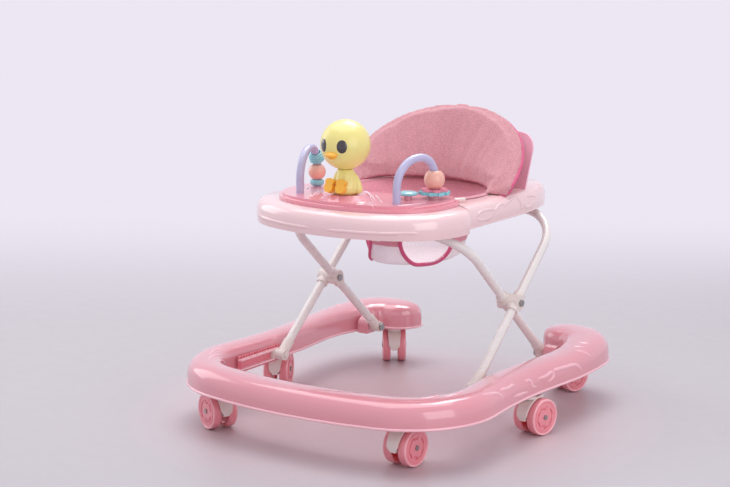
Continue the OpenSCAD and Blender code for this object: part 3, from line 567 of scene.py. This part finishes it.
def rim_loop(obj, height):
    """The longest closed loop of edges round the flat rim that looks down at that height."""
    shape = bmesh.new()
    shape.from_mesh(obj.data)
    flat = {f for f in shape.faces if f.normal.z < -0.8 and abs(f.calc_center_median().z - height) < 1.5 * MM}
    edges = {e.index: e for f in flat for e in f.edges if sum(g in flat for g in e.link_faces) == 1}
    loops = []
    while edges:
        first = edges.pop(min(edges))
        loop = list(first.verts)
        while onward := [e for e in loop[-1].link_edges if e.index in edges]:
            loop.append(edges.pop(onward[0].index).other_vert(loop[-1]))
        loops.append([v.co.copy() for v in loop[:-1]])
    shape.free()
    return max(loops, key=lambda run: sum((b - a).length for a, b in zip(run, run[1:])))


def even_loop(run, gap):
    """The same closed loop with its places that far apart."""
    out, left = [run[0]], gap
    for a, b in zip(run, run[1:] + run[:1]):
        length = (b - a).length
        while left < length:
            a = a.lerp(b, left / length)
            length = (b - a).length
            out.append(a)
            left = gap
        left -= length
    return out


def rim_bead(name, shell, node, lift, radius, finish):
    """A round bead along a shell's lower edge, with its middle that far above the edge."""
    edge = even_loop(rim_loop(shell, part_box(node)[0].z), 6 * MM)
    return tube_through(name, [[at + Vector((0, 0, lift)) for at in edge]], radius, finish, closed=True)


def line_bars(name, skin, runs, radius, sink, finish, taper, steps=6):
    """Round bars laid on a surface along runs of places in millimetres."""
    print(name, "runs", len(runs))
    return tube_through(name, [laid_on(skin, run, sink, steps) for run in runs], radius, finish, taper=taper)


# The base's lines and rim bead are coloured lighter than the shell: a painted highlight
fasten("base", "base_plastic",
       line_bars("base_lines", skin_of(base), both_sides(BASE_LINES), 4.2 * MM, 2.6 * MM, "base_ridge", 5),
       rim_bead("base_rim_bead", base, "base_shell", 2.6 * MM, 2.4 * MM, "lip_highlight"))

# %% [markdown]
# ## Dark holes in the racks
# The racks' two rows of small holes look dark because nothing behind them is lit. A thin dark strip is set in
# the middle of each row, buried in the plastic, so that each hole ends on something dark.

# %% Strips behind the rack holes
ROW_OFF = 12.6 * MM  # from the rack's middle height to the middle of a row of holes
STRIP_DEPTH = 1.2 * MM  # from the rack's outer face to the middle of a strip
STRIP_THICK, STRIP_TALL, STRIP_SHORT = 0.8 * MM, 3.6 * MM, 2 * MM

for number, (side, row) in enumerate(((-1, -1), (-1, 1), (1, -1), (1, 1))):
    bpy.ops.mesh.primitive_cube_add(
        size=1, scale=(STRIP_THICK, rack_high.y - rack_low.y - STRIP_SHORT, STRIP_TALL),
        location=(side * (rack_high.x - STRIP_DEPTH), (rack_low.y + rack_high.y) / 2, RACK_Z + row * ROW_OFF))
    fasten("base", "rack_plastic", settle(bpy.context.object, "rack_strip_%d" % number, "hole"))

# %% [markdown]
# ## Lines on the tray and the toy tray
# These are laid on in the same way. The toy tray's sides differ, so most of its lines aren't mirrored. Its
# lines and zigzags are coloured lighter than the toy tray, a painted highlight.

# %% Lines on the tray
TRAY_LINES = [
    [(0, -240, 373), (60, -236, 373), (95, -227, 373), (125, -213, 374), (150, -203, 375), (176, -186, 375)],
    [(181, -30, 379), (180, -7, 387), (181, 22, 387), (181, 39, 383), (181, 21, 374), (181, -9, 372),
     (181, -30, 379)],
    [(181, -4, 370), (181, 21, 371), (181, 35, 380), (180, 59, 390), (180, 97, 390)],
    [(181, 60, 382), (180, 90, 392), (178, 118, 396), (180, 128, 390), (181, 134, 378), (180, 136, 368)],
    [(148, 250, 400), (160, 238, 399), (168, 224, 397)],
    [(181, 150, 392), (180, 176, 392), (179, 196, 387), (180, 176, 374), (181, 150, 374), (181, 150, 392)],
]
fasten("tray_body", "tray_plastic",
       line_bars("tray_lines", skin_of(tray), both_sides(TRAY_LINES), 3.4 * MM, 2.0 * MM, "tray", 3),
       rim_bead("tray_rim_bead", tray, "tray_shell", 1.6 * MM, 1.5 * MM, "tray"))

# %% Lines on the toy tray
BOLD_ZIGZAGS = [
    [(-11, -92, 414), (-14, -74, 414), (8, -95, 414), (59, -151, 414)],
    [(-108, -128, 414), (-134, -77, 414)],
    [(-79, -153, 414), (-63, -166, 414), (-93, -105, 414)],
]
FINE_ZIGZAGS = [
    [(15, -111, 414), (54, -155, 414)],
    [(18, -95, 414), (38, -114, 414), (58, -139, 414), (77, -158, 414)],
    [(-57, -165, 414), (-81, -116, 414)],
    [(-69, -182, 414), (-76, -165, 414)],
]
TOY_LINES = [
    [(-116, -181, 407), (-80, -193, 408), (-51, -200, 408), (-21, -205, 408), (8, -206, 408),
     (42, -204, 407)],
    [(20, -194, 413), (38, -190, 413), (56, -188, 413), (70, -189, 413), (84, -194, 408)],
    [(112, -173, 413), (118, -160, 413), (128, -140, 413), (131, -120, 413), (130, -100, 413)],
] + both_sides([[(132, -160, 408), (146, -135, 410), (153, -105, 410), (154, -70, 409), (146, -38, 408)]])
toy_skin = skin_of(nodes["toy_tray"])
# The toy tray's lines and zigzags are coloured lighter than the toy tray: a painted highlight
fasten("tray_body", "toy_tray_plastic",
       line_bars("toy_tray_lines", toy_skin, TOY_LINES, 1.4 * MM, 0.7 * MM, "toy_line_highlight", 3, steps=5),
       line_bars("toy_tray_bold_zigzags", toy_skin, BOLD_ZIGZAGS, 3.0 * MM, 1.0 * MM, "ridge", 1, steps=2),
       line_bars("toy_tray_fine_zigzags", toy_skin, FINE_ZIGZAGS, 1.5 * MM, 0.3 * MM, "ridge", 1, steps=2))

# %% Tab beside the toys
# A small cream tab sticks out from under the toy tray: a cube drawn out to a narrow end, with rounded edges.
TAB_PLACE, TAB_SIZE = (139 * MM, -26 * MM, 406.5 * MM), (11 * MM, 40 * MM, 7 * MM)
TAB_TIP = (0.5, 1, 0.7)  # the tip's width and height, as shares of the root's
TAB_TURN = math.radians(-32)

bpy.ops.mesh.primitive_cube_add(size=1, location=TAB_PLACE, rotation=(0, 0, TAB_TURN), scale=TAB_SIZE)
bpy.ops.object.transform_apply(location=False, rotation=False, scale=True)
tab = bpy.context.object
edit_mode(tab, "DESELECT")
shape = bmesh.from_edit_mesh(tab.data)
for v in shape.verts:
    v.select = v.co.y > 0
shape.select_flush(True)
bmesh.update_edit_mesh(tab.data)
bpy.ops.transform.resize(value=TAB_TIP)
object_mode()
add_modifier(tab, "BEVEL", width=2.2 * MM, segments=4)
fasten("tray_body", "cream_plastic", settle(tab, "toy_tab", "cream"))

# %% [markdown]
# ## The chick's face and feathers
# The chick is a plain toy bird. Its eyes are dark glossy ovals set into the head, and its bill is two
# flattened balls, the upper one longer. The CAD body is remeshed evenly, and its points are moved in and out
# with the angle round the body, most at half height, which gives the belly soft upright flutes.

# %% Eyes, bill and fluted belly
head_low, head_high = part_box("chick_head")
head_middle = (head_low + head_high) / 2
HEAD_R = (head_high.z - head_low.z) / 2
head_middle.y = head_high.y - HEAD_R


def oval(name, towards, depth, size, finish):
    """A flattened ball on the chick's head, facing that way, with its middle that deep below the surface."""
    towards = Vector(towards).normalized()
    bpy.ops.mesh.primitive_uv_sphere_add(segments=40, ring_count=24, radius=1, scale=[s * MM for s in size],
                                         location=head_middle + towards * (HEAD_R - depth * MM),
                                         rotation=towards.to_track_quat("Y", "Z").to_euler())
    return settle(bpy.context.object, name, finish, 60)


# Each oval: the way it faces, its depth and its half sizes in millimetres, and its finish
FACE = {
    "chick_eye_right": ((-0.44, -0.89, 0.03), 1.9, (9.4, 3.0, 11.4), "eye"),
    "chick_eye_left": ((0.44, -0.89, 0.03), 1.9, (9.4, 3.0, 11.4), "eye"),
    "chick_bill_upper": ((-0.02, -0.945, -0.30), 0.5, (12.5, 9, 4.6), "orange"),
    "chick_bill_lower": ((-0.02, -0.92, -0.41), 1.5, (9.5, 7.5, 3.2), "orange"),
}
for name, (towards, depth, size, finish) in FACE.items():
    fasten("tray_body", "chick_orange", oval(name, towards, depth, size, finish))

FLUTES, FLUTE_DEPTH = 10, 1.3 * MM
BELLY_HALF, BELLY_FADE = 22 * MM, 6 * MM  # where the flutes end at each side, and how far they fade
BELLY_CORE = 14 * MM  # nearer the middle than this they fade too

belly = merged_copy("chick_body", "chick_plumage", "yellow")
add_modifier(belly, "REMESH", mode="VOXEL", voxel_size=1.3 * MM, use_smooth_shade=True)
body_low, body_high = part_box("chick_body")
for v in belly.data.vertices:
    x, y = v.co.x, v.co.y - head_middle.y
    height = (v.co.z - body_low.z) / (body_high.z - body_low.z)
    away = math.hypot(x, y)
    upright = math.sin(math.pi * min(max(height * 1.05, 0), 1))
    window = upright * min(max((BELLY_HALF - abs(x)) / BELLY_FADE, 0), 1)
    move = FLUTE_DEPTH * window * math.cos(FLUTES * math.atan2(x, -y)) * min(away / BELLY_CORE, 1)
    v.co.x += x / max(away, 1e-6) * move
    v.co.y += y / max(away, 1e-6) * move
belly.data.update()
add_modifier(belly, "SMOOTH", factor=0.5, iterations=4)
bpy.ops.object.shade_smooth()
fasten("tray_body", "chick_yellow", belly)
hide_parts("chick_body")

# %% [markdown]
# ## Wheel faces
# Each wheel has a rim round its outer face and broken angular lines inside it. The rim is coloured pale, a
# painted highlight, and the lines a deeper rose, a painted shade. They are written once about an axle, then
# laid on both outer faces of all six pairs.

# %% Lines on the wheels
joints = {j["name"]: j for j in frame["joints"]}


def corner_run(radius, first, last):
    """An angular run: straight pieces between places on a circle, 40 degrees apart."""
    spots = np.radians(np.arange(first, last + 1, 40))
    places = [Vector((radius * math.cos(a), radius * math.sin(a), 0)) for a in spots]
    run = [places[0]]
    for a, b in zip(places, places[1:]):
        run += [a.lerp(b, 0.08), a.lerp(b, 0.5), a.lerp(b, 0.92)]
    return run + [places[-1]]


WIDE_RUN, NARROW_RUN = 20 * MM, 15.5 * MM
WHEEL_RUNS = [corner_run(WIDE_RUN, 110, 230), corner_run(WIDE_RUN, 262, 342), corner_run(WIDE_RUN, 8, 48),
              corner_run(NARROW_RUN, 70, 110), corner_run(NARROW_RUN, 240, 280)]
circle = [Vector((math.cos(a), math.sin(a), 0)) for a in np.linspace(0, math.tau, 61)[:-1]]
for which in CASTERS:
    low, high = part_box("axle_" + which)
    middle = (low + high) / 2
    axis = Vector(joints["roll_" + which]["axis"]).normalized()
    from_middle = [v.co - middle for v in nodes["wheels_" + which].data.vertices]
    reach = max(at.dot(axis) for at in from_middle)
    tread = max(at.cross(axis).length for at in from_middle)
    runs, rims = [], []
    for side in (-1, 1):
        turn = (axis * side).to_track_quat("Z", "Y").to_matrix()
        line_plane, rim_plane = (middle + axis * side * (reach - sunk) for sunk in (0.5 * MM, 1.3 * MM))
        runs += [[line_plane + turn @ at for at in run] for run in WHEEL_RUNS]
        rims.append([rim_plane + turn @ at * (tread - 2.4 * MM) for at in circle])
    # Lines in a deeper rose, a painted shade; a rim in a lighter pink, a painted highlight
    trim = tube_through("wheel_lines_" + which, runs, 1.0 * MM, "wheel_line", round_steps=2, taper=1)
    rim = tube_through("wheel_rim_" + which, rims, 1.9 * MM, "wheel_rim", closed=True)
    fasten("wheels_body_" + which, "wheel_plastic", trim, rim)

# %% [markdown]
# ## Fabric
# The seat and the cushion are covered in a knitted mesh of light and dark threads a couple of millimetres
# apart. Its fine cell pattern shows as a soft heather from afar and as separate loops from near by. Long
# light and dark patches follow where the cloth has been handled.

# %% Fabric finishes
def knit(name, colour, pitch, contrast):
    """Knitted mesh cloth; pitch is the distance between its loops, contrast how far its threads differ."""
    net = Finish(name)
    clouds = net.node("TexNoise", {"Vector": net.place(), "Scale": 60.0}, out="Color")
    wobble = net.node("VectorMath", {0: clouds, 1: (4 * MM, 4 * MM, 4 * MM), 2: net.place()}, out="Vector",
                      operation="MULTIPLY_ADD")
    loop = net.ramp(net.cells(1 / pitch, 0.55, where=wobble), 0.1, 0.75)
    fleck = net.ramp(net.noise(420, 3, 0.7), 0.36, 0.64)
    tall = net.node("VectorMath", {0: net.place(), 1: (1.0, 1.0, 0.1)}, out="Vector", operation="MULTIPLY")
    worn = net.ramp(net.noise(120, 3, 0.6, where=tall), 0.35, 0.65)
    shade = fleck * 0.7 + loop * -0.3 + worn * 0.16 + 0.22
    return net.close(
        Base_Color=net.around(shade, colour, 1 - contrast, 1 + contrast),
        Roughness=0.86 + loop * 0.08,
        Sheen_Weight=0.25,
        Sheen_Roughness=0.5,
        Sheen_Tint=(1.0, 0.86, 0.9, 1.0),
        Normal=net.bump((1 - loop) * 0.8 + fleck * 0.2, 0.5, 0.6 * MM))


def webbing(name, colour):
    """Woven edging tape: tight fine ribs across it."""
    net = Finish(name)
    rib = net.ramp(net.cells(900.0, 0.3), 0.1, 0.7)
    return net.close(
        Base_Color=net.around(rib, colour, 1.12, 0.85),
        Roughness=0.8 + rib * 0.1,
        Sheen_Weight=0.2,
        Normal=net.bump(1 - rib, 0.35, 0.4 * MM))


def sling_cloth(name, band_colour, mesh_colour, band_from):
    """Knit above the height band_from, and below it an airy mesh whose holes follow the UV map "weave"."""
    net = Finish(name)
    uv = net.node("UVMap", uv_map="weave")
    across, along = (net.node("SeparateXYZ", {"Vector": uv}, out=way) * math.tau for way in "XY")
    band = net.ramp(net.height(), band_from - 0.4 * MM, band_from + 0.4 * MM)
    thread = net.ramp(net.sum("COSINE", across) * net.sum("COSINE", along), -0.30, 0.10)
    cover = 1 - (1 - band) * (1 - thread)
    fleck = net.ramp(net.noise(700, 2, 0.6), 0.38, 0.62)
    knitted = net.around(fleck, band_colour, 0.84, 1.14)
    airy = net.around(net.noise(200, 2), mesh_colour, 0.95, 1.03)
    return net.close(
        Base_Color=net.blend(band, airy, knitted),
        Roughness=0.86,
        Alpha=net.ramp(cover, 0, 1, 0.22, 1.0),
        Sheen_Weight=0.25,
        Normal=net.bump(thread * 0.6 + fleck * band * 0.4, 0.35, 0.4 * MM))


finishes["heather"] = knit("cushion_heather_knit", srgb(202, 141, 149), pitch=2.4 * MM, contrast=0.20)
finishes["lining"] = knit("seat_lining_knit", srgb(212, 146, 157), pitch=2.2 * MM, contrast=0.13)
finishes["seam"] = webbing("foot_seam_dark_rose", srgb(186, 88, 110))
finishes["piping"] = webbing("edge_tape_deep_rose", srgb(218, 94, 136))
finishes["sling"] = sling_cloth("seat_sling_cloth", srgb(226, 150, 165), srgb(255, 248, 252), 312 * MM)

# %% [markdown]
# ## The cushion's outline
# Seen from above, the cushion is half an ellipse that widens and leans back as it rises. Its height grows
# from nearly nothing at the armrests to its most behind the head. One function gives any place on it, so the
# cushion, its piping and its folds all share one shape.

# %% A place on the cushion
tray_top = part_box("tray_shell")[1].z
pad_low, pad_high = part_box("backrest_pad")
BACK_W, BACK_D, BACK_Y = 177 * MM, 110 * MM, 77 * MM  # the ellipse's half width, half depth and middle
BACK_LEAN, BACK_FLARE = 0.38, 0.37  # how far it leans back and widens for each metre up
PAD_END, PAD_T = 9 * MM, 18 * MM  # the cushion's height at the armrests, and its thickness
PAD_H = pad_high.z - pad_low.z


def pad_height(angle):
    """The cushion's height at that angle, or at each angle of an array."""
    return PAD_END + (PAD_H - PAD_END) * np.sin(angle) ** 1.19


def pad_place(angle, share, out):
    """A place at that angle round the cushion, that share of its height up, and out metres off its back."""
    height = float(pad_height(angle)) * share
    normal = Vector((BACK_D * math.cos(angle), BACK_W * math.sin(angle), 0)).normalized()
    ring = Vector(((BACK_W + BACK_FLARE * height) * math.cos(angle),
                   BACK_Y + BACK_D * math.sin(angle) + BACK_LEAN * height, pad_low.z + height))
    return ring + normal * out


# %% [markdown]
# ## The cushion
# Air and wadding push a cushion's cloth out between its seams. A slightly shrunken copy of the CAD cushion is
# remeshed and blown up for twenty frames by the cloth simulation, with a cap on how far any point may move.
# Soft upright folds are pressed in afterwards, where the curved back gathers its cover.

# %% Blow up the cushion
def coordinates(obj, kind="co"):
    """The places of a piece's points, or with kind "normal" their directions, as an array."""
    rows = np.zeros(len(obj.data.vertices) * 3)
    obj.data.vertices.foreach_get(kind, rows)
    return rows.reshape(-1, 3)


def move_points(obj, places):
    """Puts a piece's points at new places, given as an array."""
    obj.data.vertices.foreach_set("co", places.ravel())
    obj.data.update()


def puff(obj, voxel, pressure, cap, frames=20):
    """Remeshes a closed piece and swells it by a cloth simulation, moving no point further than cap."""
    add_modifier(obj, "REMESH", mode="VOXEL", voxel_size=voxel, use_smooth_shade=True)
    start = coordinates(obj)
    only(obj)
    cloth = obj.modifiers.new("cloth", "CLOTH")
    cloth.settings.use_pressure = True
    cloth.settings.uniform_pressure_force = pressure
    cloth.settings.quality = 5
    cloth.settings.effector_weights.gravity = 0
    cloth.collision_settings.use_collision = False
    cloth.point_cache.frame_start = 1
    cloth.point_cache.frame_end = frames
    for step in range(1, frames + 1):
        scene.frame_set(step)
    bpy.ops.object.modifier_apply(modifier="cloth")
    scene.frame_set(1)
    move = coordinates(obj) - start
    length = np.linalg.norm(move, axis=1, keepdims=True)
    move_points(obj, start + move * np.minimum(1, cap / np.maximum(length, 1e-9)))
    print(obj.name, "swelled by up to", round(float(min(length.max(), cap)) / MM, 1), "mm")


cushion = merged_copy("backrest_pad", "cushion", "heather")
edit_mode(cushion)
bpy.ops.mesh.normals_make_consistent(inside=False)
bpy.ops.transform.shrink_fatten(value=-0.8 * MM)
object_mode()
puff(cushion, voxel=5 * MM, pressure=4.0, cap=5 * MM)
add_modifier(cushion, "SUBSURF", levels=1, render_levels=1)

FOLD_DEPTH = 1.5 * MM
SEAM_BULGE = 1.2 * MM  # how far the cushion's back may stand out past its outline
TRAY_GAP = 0.3 * MM


def fold_depth(angle, share):
    """How deep the cover's upright folds are, in metres, for arrays of angles and shares of the height."""
    lean = angle + 0.06 * np.sin(3 * share + 4 * angle)
    waves = np.sin(15 * lean + 1.3) + 0.6 * np.sin(26 * lean + 0.4) + 0.4 * np.sin(41 * lean)
    patch = 0.65 + 0.35 * np.sin(3.1 * angle + 2.2) * np.cos(4 * share + 6 * angle)
    return FOLD_DEPTH * waves * patch * np.sin(math.pi * np.clip(share, 0.0, 1.0)) ** 0.6


soft, facing = coordinates(cushion), coordinates(cushion, "normal")
low, high = soft.min(axis=0), soft.max(axis=0)
soft = np.array(pad_low) + (soft - low) / (high - low) * (np.array(pad_high) - np.array(pad_low))
height = np.maximum(soft[:, 2] - pad_low.z, 0)
wide, back = BACK_W + BACK_FLARE * height, BACK_Y + BACK_LEAN * height
around = np.clip(np.arctan2((soft[:, 1] - back) / BACK_D, soft[:, 0] / wide), 0.02, math.pi - 0.02)
ring = np.stack([wide * np.cos(around), back + BACK_D * np.sin(around), soft[:, 2]], axis=1)
outward = np.stack([BACK_D * np.cos(around), BACK_W * np.sin(around), 0 * around], axis=1)
outward /= np.linalg.norm(outward, axis=1, keepdims=True)
inner = (facing * outward).sum(axis=1) < -0.3
proud = ((soft - ring) * outward).sum(axis=1)
move = np.where(inner, fold_depth(around, height / pad_height(around)), -np.maximum(proud - SEAM_BULGE, 0))
soft += outward * move[:, None]
soft[:, 2] = np.maximum(soft[:, 2], tray_top + TRAY_GAP)
move_points(cushion, soft)
bpy.ops.object.shade_smooth()
fasten("tray_body", "seat_fabric", cushion)
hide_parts("backrest_pad")

# %% [markdown]
# ## Piping
# A deep pink piping covers the seam between the cushion's front and back, and a finer cord closes its
# foot. Both are laid on the finished cushion at its nearest place, then smoothed along their length.

# %% Piping and foot seam
cushion_skin = skin_of(cushion)


def hugging(places, lift):
    """Brings a run to the cushion's surface, lifts it a little, and smooths it."""
    found = [cushion_skin.find_nearest(at) for at in places]
    return evened([near + normal * lift for near, normal, *_ in found], 4)


def end_edge(angle):
    """Up the cushion's end at that angle, from under its foot to its back."""
    tucked = [pad_place(angle, f, -14 * MM + 14 * MM * f / 0.3) for f in np.linspace(0.02, 0.3, 5)]
    return tucked + [pad_place(angle, f, 0) for f in np.linspace(0.4, 0.85, 4)]


turns = np.radians(np.linspace(7, 173, 110))
edge = end_edge(turns[0]) + [pad_place(a, 0.96, -0.5 * MM) for a in turns] + end_edge(turns[-1])[::-1]
foot = [pad_place(a, 0.05, -PAD_T - 26 * MM * abs(math.cos(a)) ** 0.8)
        for a in np.radians(np.linspace(10, 170, 90))]
fasten("tray_body", "seat_fabric",
       tube_through("cushion_piping", [hugging(edge, 0.9 * MM)], 2.6 * MM, "piping"),
       tube_through("cushion_foot_seam", [hugging(foot, 0.2 * MM)], 1.1 * MM, "seam"))

# %% [markdown]
# ## The seat sling
# The sling is one bucket of cloth that hangs in the tray's opening, with a hole for each leg. Its upper band
# is knit like the cushion, and the rest is airy mesh. A flat grid is rolled up into the bucket: one way runs
# round it, the other from the middle of its floor to its rim. Faces inside the leg holes are deleted, and the
# ragged edge is drawn to each hole's true outline.

# %% Shape of the sling
sling_low, sling_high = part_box("seat_sling")
SEAT_Y = (sling_low.y + sling_high.y) / 2
SEAT_H = sling_high.z - sling_low.z
# Each ring of the bucket: share of its height, half width, half length in millimetres
RINGS = [(0, 58, 84), (0.02, 71, 94), (0.09, 83, 98), (0.22, 92, 101), (0.45, 99, 104), (0.75, 109, 108),
         (0.87, 122, 116), (1, 133, 121)]
RIM_W, RIM_D = RINGS[-1][1:]
FLOOR_PART = 0.3  # the floor's share of the way from its middle to the rim
FLOOR_W, FLOOR_D = 60 * MM, 84 * MM
FLOOR_RISE = 1.5 * MM  # how far the floor's edge curls up
HOLE_R = 50 * MM
HOLE_TURN = math.radians(47)  # how far to the side of straight ahead a leg hole faces
HOLE_FROM = 80 * MM  # a hole cuts only cloth further out than this
hole_middle = sling_low.z + 49 * MM
hole_top = hole_middle + SEAT_H * 0.9 - HOLE_R


def ring_at(height):
    """The bucket's half width and half length at that height above its floor, in metres."""
    share = min(max(height / SEAT_H, 0), 1)
    a, b = next((a, b) for a, b in zip(RINGS, RINGS[1:]) if share <= b[0])
    t = (share - a[0]) / (b[0] - a[0])
    t = t * 0.55 + 0.45 * t * t * (3 - 2 * t)
    return (a[1] + (b[1] - a[1]) * t) * MM, (a[2] + (b[2] - a[2]) * t) * MM


def bucket(turn, along):
    """A place on the sling; along goes from 0 at its floor's middle to 1 at its rim."""
    if along < FLOOR_PART:
        share = along / FLOOR_PART
        wide, deep = FLOOR_W * share, FLOOR_D * share
        height = FLOOR_RISE * share ** 4
    else:
        height = (along - FLOOR_PART) / (1 - FLOOR_PART) * SEAT_H
        wide, deep = ring_at(height)
        height = max(height, FLOOR_RISE)
    return Vector((wide * math.cos(turn), SEAT_Y + deep * math.sin(turn),
                   sling_low.z + 0.5 * MM + height * 0.995))


def in_hole(at):
    """Above zero inside a leg hole, below zero outside it, in metres."""
    x, y = abs(at.x), at.y - SEAT_Y
    across = x * math.cos(HOLE_TURN) + y * math.sin(HOLE_TURN)
    outward = x * math.sin(HOLE_TURN) - y * math.cos(HOLE_TURN)
    if at.z > hole_middle:
        inside = min(HOLE_R - abs(across), hole_top - at.z)
    else:
        inside = HOLE_R - math.hypot(across, at.z - hole_middle)
    return min(inside, outward - HOLE_FROM)


# %% Roll up the sling and cut its leg holes
ROUND, UP = 168, 64  # faces round the sling, and up it
HOLES_ROUND, HOLES_UP = 200, 48  # holes of its mesh round it, and up it

bpy.ops.mesh.primitive_grid_add(x_subdivisions=ROUND, y_subdivisions=UP, size=1)
sling = bpy.context.object
# Each point's turn round the sling and its share of the way up
spots = [(math.tau * (v.co.x + 0.5), v.co.y + 0.5) for v in sling.data.vertices]
deep = [in_hole(bucket(*spot)) for spot in spots]
weave = sling.data.uv_layers.new(name="weave")
for corner in sling.data.loops:
    turn, along = spots[corner.vertex_index]
    weave.data[corner.index].uv = (turn / math.tau * HOLES_ROUND, along * HOLES_UP)
near = [[] for _ in spots]
for joined in sling.data.edges:
    a, b = joined.vertices
    near[a].append(b)
    near[b].append(a)
for k, outside in enumerate(spots):
    cut = [n for n in near[k] if deep[n] > 0]
    if deep[k] <= 0 and cut:
        inside = spots[max(cut, key=lambda n: deep[n])]
        for _ in range(12):
            middle = ((inside[0] + outside[0]) / 2, (inside[1] + outside[1]) / 2)
            if in_hole(bucket(*middle)) > 0:
                inside = middle
            else:
                outside = middle
        spots[k] = outside
for v, spot in zip(sling.data.vertices, spots):
    v.co = bucket(*spot)
shape = bmesh.new()
shape.from_mesh(sling.data)
gone = [f for f in shape.faces if any(deep[v.index] > 0 for v in f.verts)]
bmesh.ops.delete(shape, geom=gone, context="FACES")
bmesh.ops.remove_doubles(shape, verts=shape.verts, dist=0.05 * MM)
bmesh.ops.recalc_face_normals(shape, faces=shape.faces)
shape.to_mesh(sling.data)
shape.free()

# %% Let the sling sag and wrinkle
WRINKLE_DEPTH = 0.9 * MM
FLOOR_DENT = 1.2 * MM

for v in sling.data.vertices:
    x, y = v.co.x, v.co.y - SEAT_Y
    turn = math.atan2(y, x)
    height = (v.co.z - sling_low.z) / SEAT_H
    outward = Vector((x, y, 0)).normalized() if math.hypot(x, y) > 5 * MM else Vector()
    loose = math.sin(math.pi * min(max(height, 0), 1))
    wrinkle = (math.sin(9 * turn + 4 * height) + 0.6 * math.sin(17 * turn - 7 * height)
               + 0.5 * math.sin(25 * height + 3 * turn))
    v.co -= outward * (WRINKLE_DEPTH * loose * (1.4 + wrinkle))
    if height < 0.05:
        v.co.z += FLOOR_DENT * (1 + math.sin(x * 90) * math.sin(y * 70)) * 0.5
sling.data.update()
settle(sling, "seat_sling_cloth", "sling", 60)
bpy.ops.object.shade_smooth()
add_modifier(sling, "SOLIDIFY", thickness=0.9 * MM, offset=-1)

# %% [markdown]
# ## The sling's edges
# Deep pink tape binds the leg holes, and a raised band of knit covers the edge of the opening.

# %% Bind the holes and cover the rim
def on_bucket(across, height, side):
    """The place on the sling in a leg hole's own directions: across it, and height above the ground."""
    wide, deep = ring_at(height - sling_low.z)
    c, s = math.cos(HOLE_TURN), side * math.sin(HOLE_TURN)
    # The place is across * (c, s) + outward * (s, -c), where that meets the bucket's ellipse.
    a = (s / wide) ** 2 + (c / deep) ** 2
    b = 2 * across * (c * s / wide ** 2 - s * c / deep ** 2)
    k = (across * c / wide) ** 2 + (across * s / deep) ** 2 - 1
    outward = (-b + math.sqrt(max(b * b - 4 * a * k, 0))) / (2 * a)
    return Vector((across * c + outward * s, SEAT_Y + across * s - outward * c, height))


outline = [(-HOLE_R, z) for z in np.linspace(hole_top, hole_middle, 12)]
outline += [(-HOLE_R * math.cos(a), hole_middle - HOLE_R * math.sin(a))
            for a in np.linspace(0, math.pi, 40)[1:]]
outline += [(HOLE_R, z) for z in np.linspace(hole_middle, hole_top, 12)[1:]]
outline += [(x, hole_top) for x in np.linspace(HOLE_R, -HOLE_R, 12)[1:-1]]
bindings = []
for side in (-1, 1):
    run = []
    for across, height in outline:
        at = on_bucket(across, max(height, sling_low.z + 2.2 * MM), side)
        middle = Vector((0, SEAT_Y, at.z))
        run.append(at - (at - middle).normalized() * 1.2 * MM)
    bindings.append(evened(run, 3, closed=True))
binding = tube_through("leg_hole_binding", bindings, 3.7 * MM, "piping", closed=True)

# The band's profile: how far each ring is outside the sling's rim and above the tray, in millimetres
BAND = [(-1.2, -24), (-0.9, -12), (-0.5, -3.5), (0.6, 0.4), (3, 2.0), (6, 2.2), (8.5, 1.4), (9.5, 0.2)]
bpy.ops.mesh.primitive_circle_add(vertices=144, radius=1, fill_type="NOTHING")
collar = bpy.context.object
edit_mode(collar)
for k, (grow, rise) in enumerate(BAND):
    if k:
        bpy.ops.mesh.extrude_edges_indiv()
    shape = bmesh.from_edit_mesh(collar.data)
    for v in shape.verts:
        if v.select:
            x, y = (v.co.x / RIM_W, (v.co.y - SEAT_Y) / RIM_D) if k else (v.co.x, v.co.y)
            turn = math.atan2(y, x)
            wide, deep = (RIM_W + grow) * MM, (RIM_D + grow) * MM
            v.co = (wide * math.cos(turn), SEAT_Y + deep * math.sin(turn), tray_top + rise * MM)
    bmesh.update_edit_mesh(collar.data)
object_mode()
add_modifier(collar, "SOLIDIFY", thickness=1.0 * MM, offset=-1)
settle(collar, "seat_rim_band", "lining", 60)
edit_mode(collar)
bpy.ops.mesh.normals_make_consistent(inside=False)
object_mode()

fasten("tray_body", "seat_fabric", sling, binding, collar)
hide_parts("seat_sling")
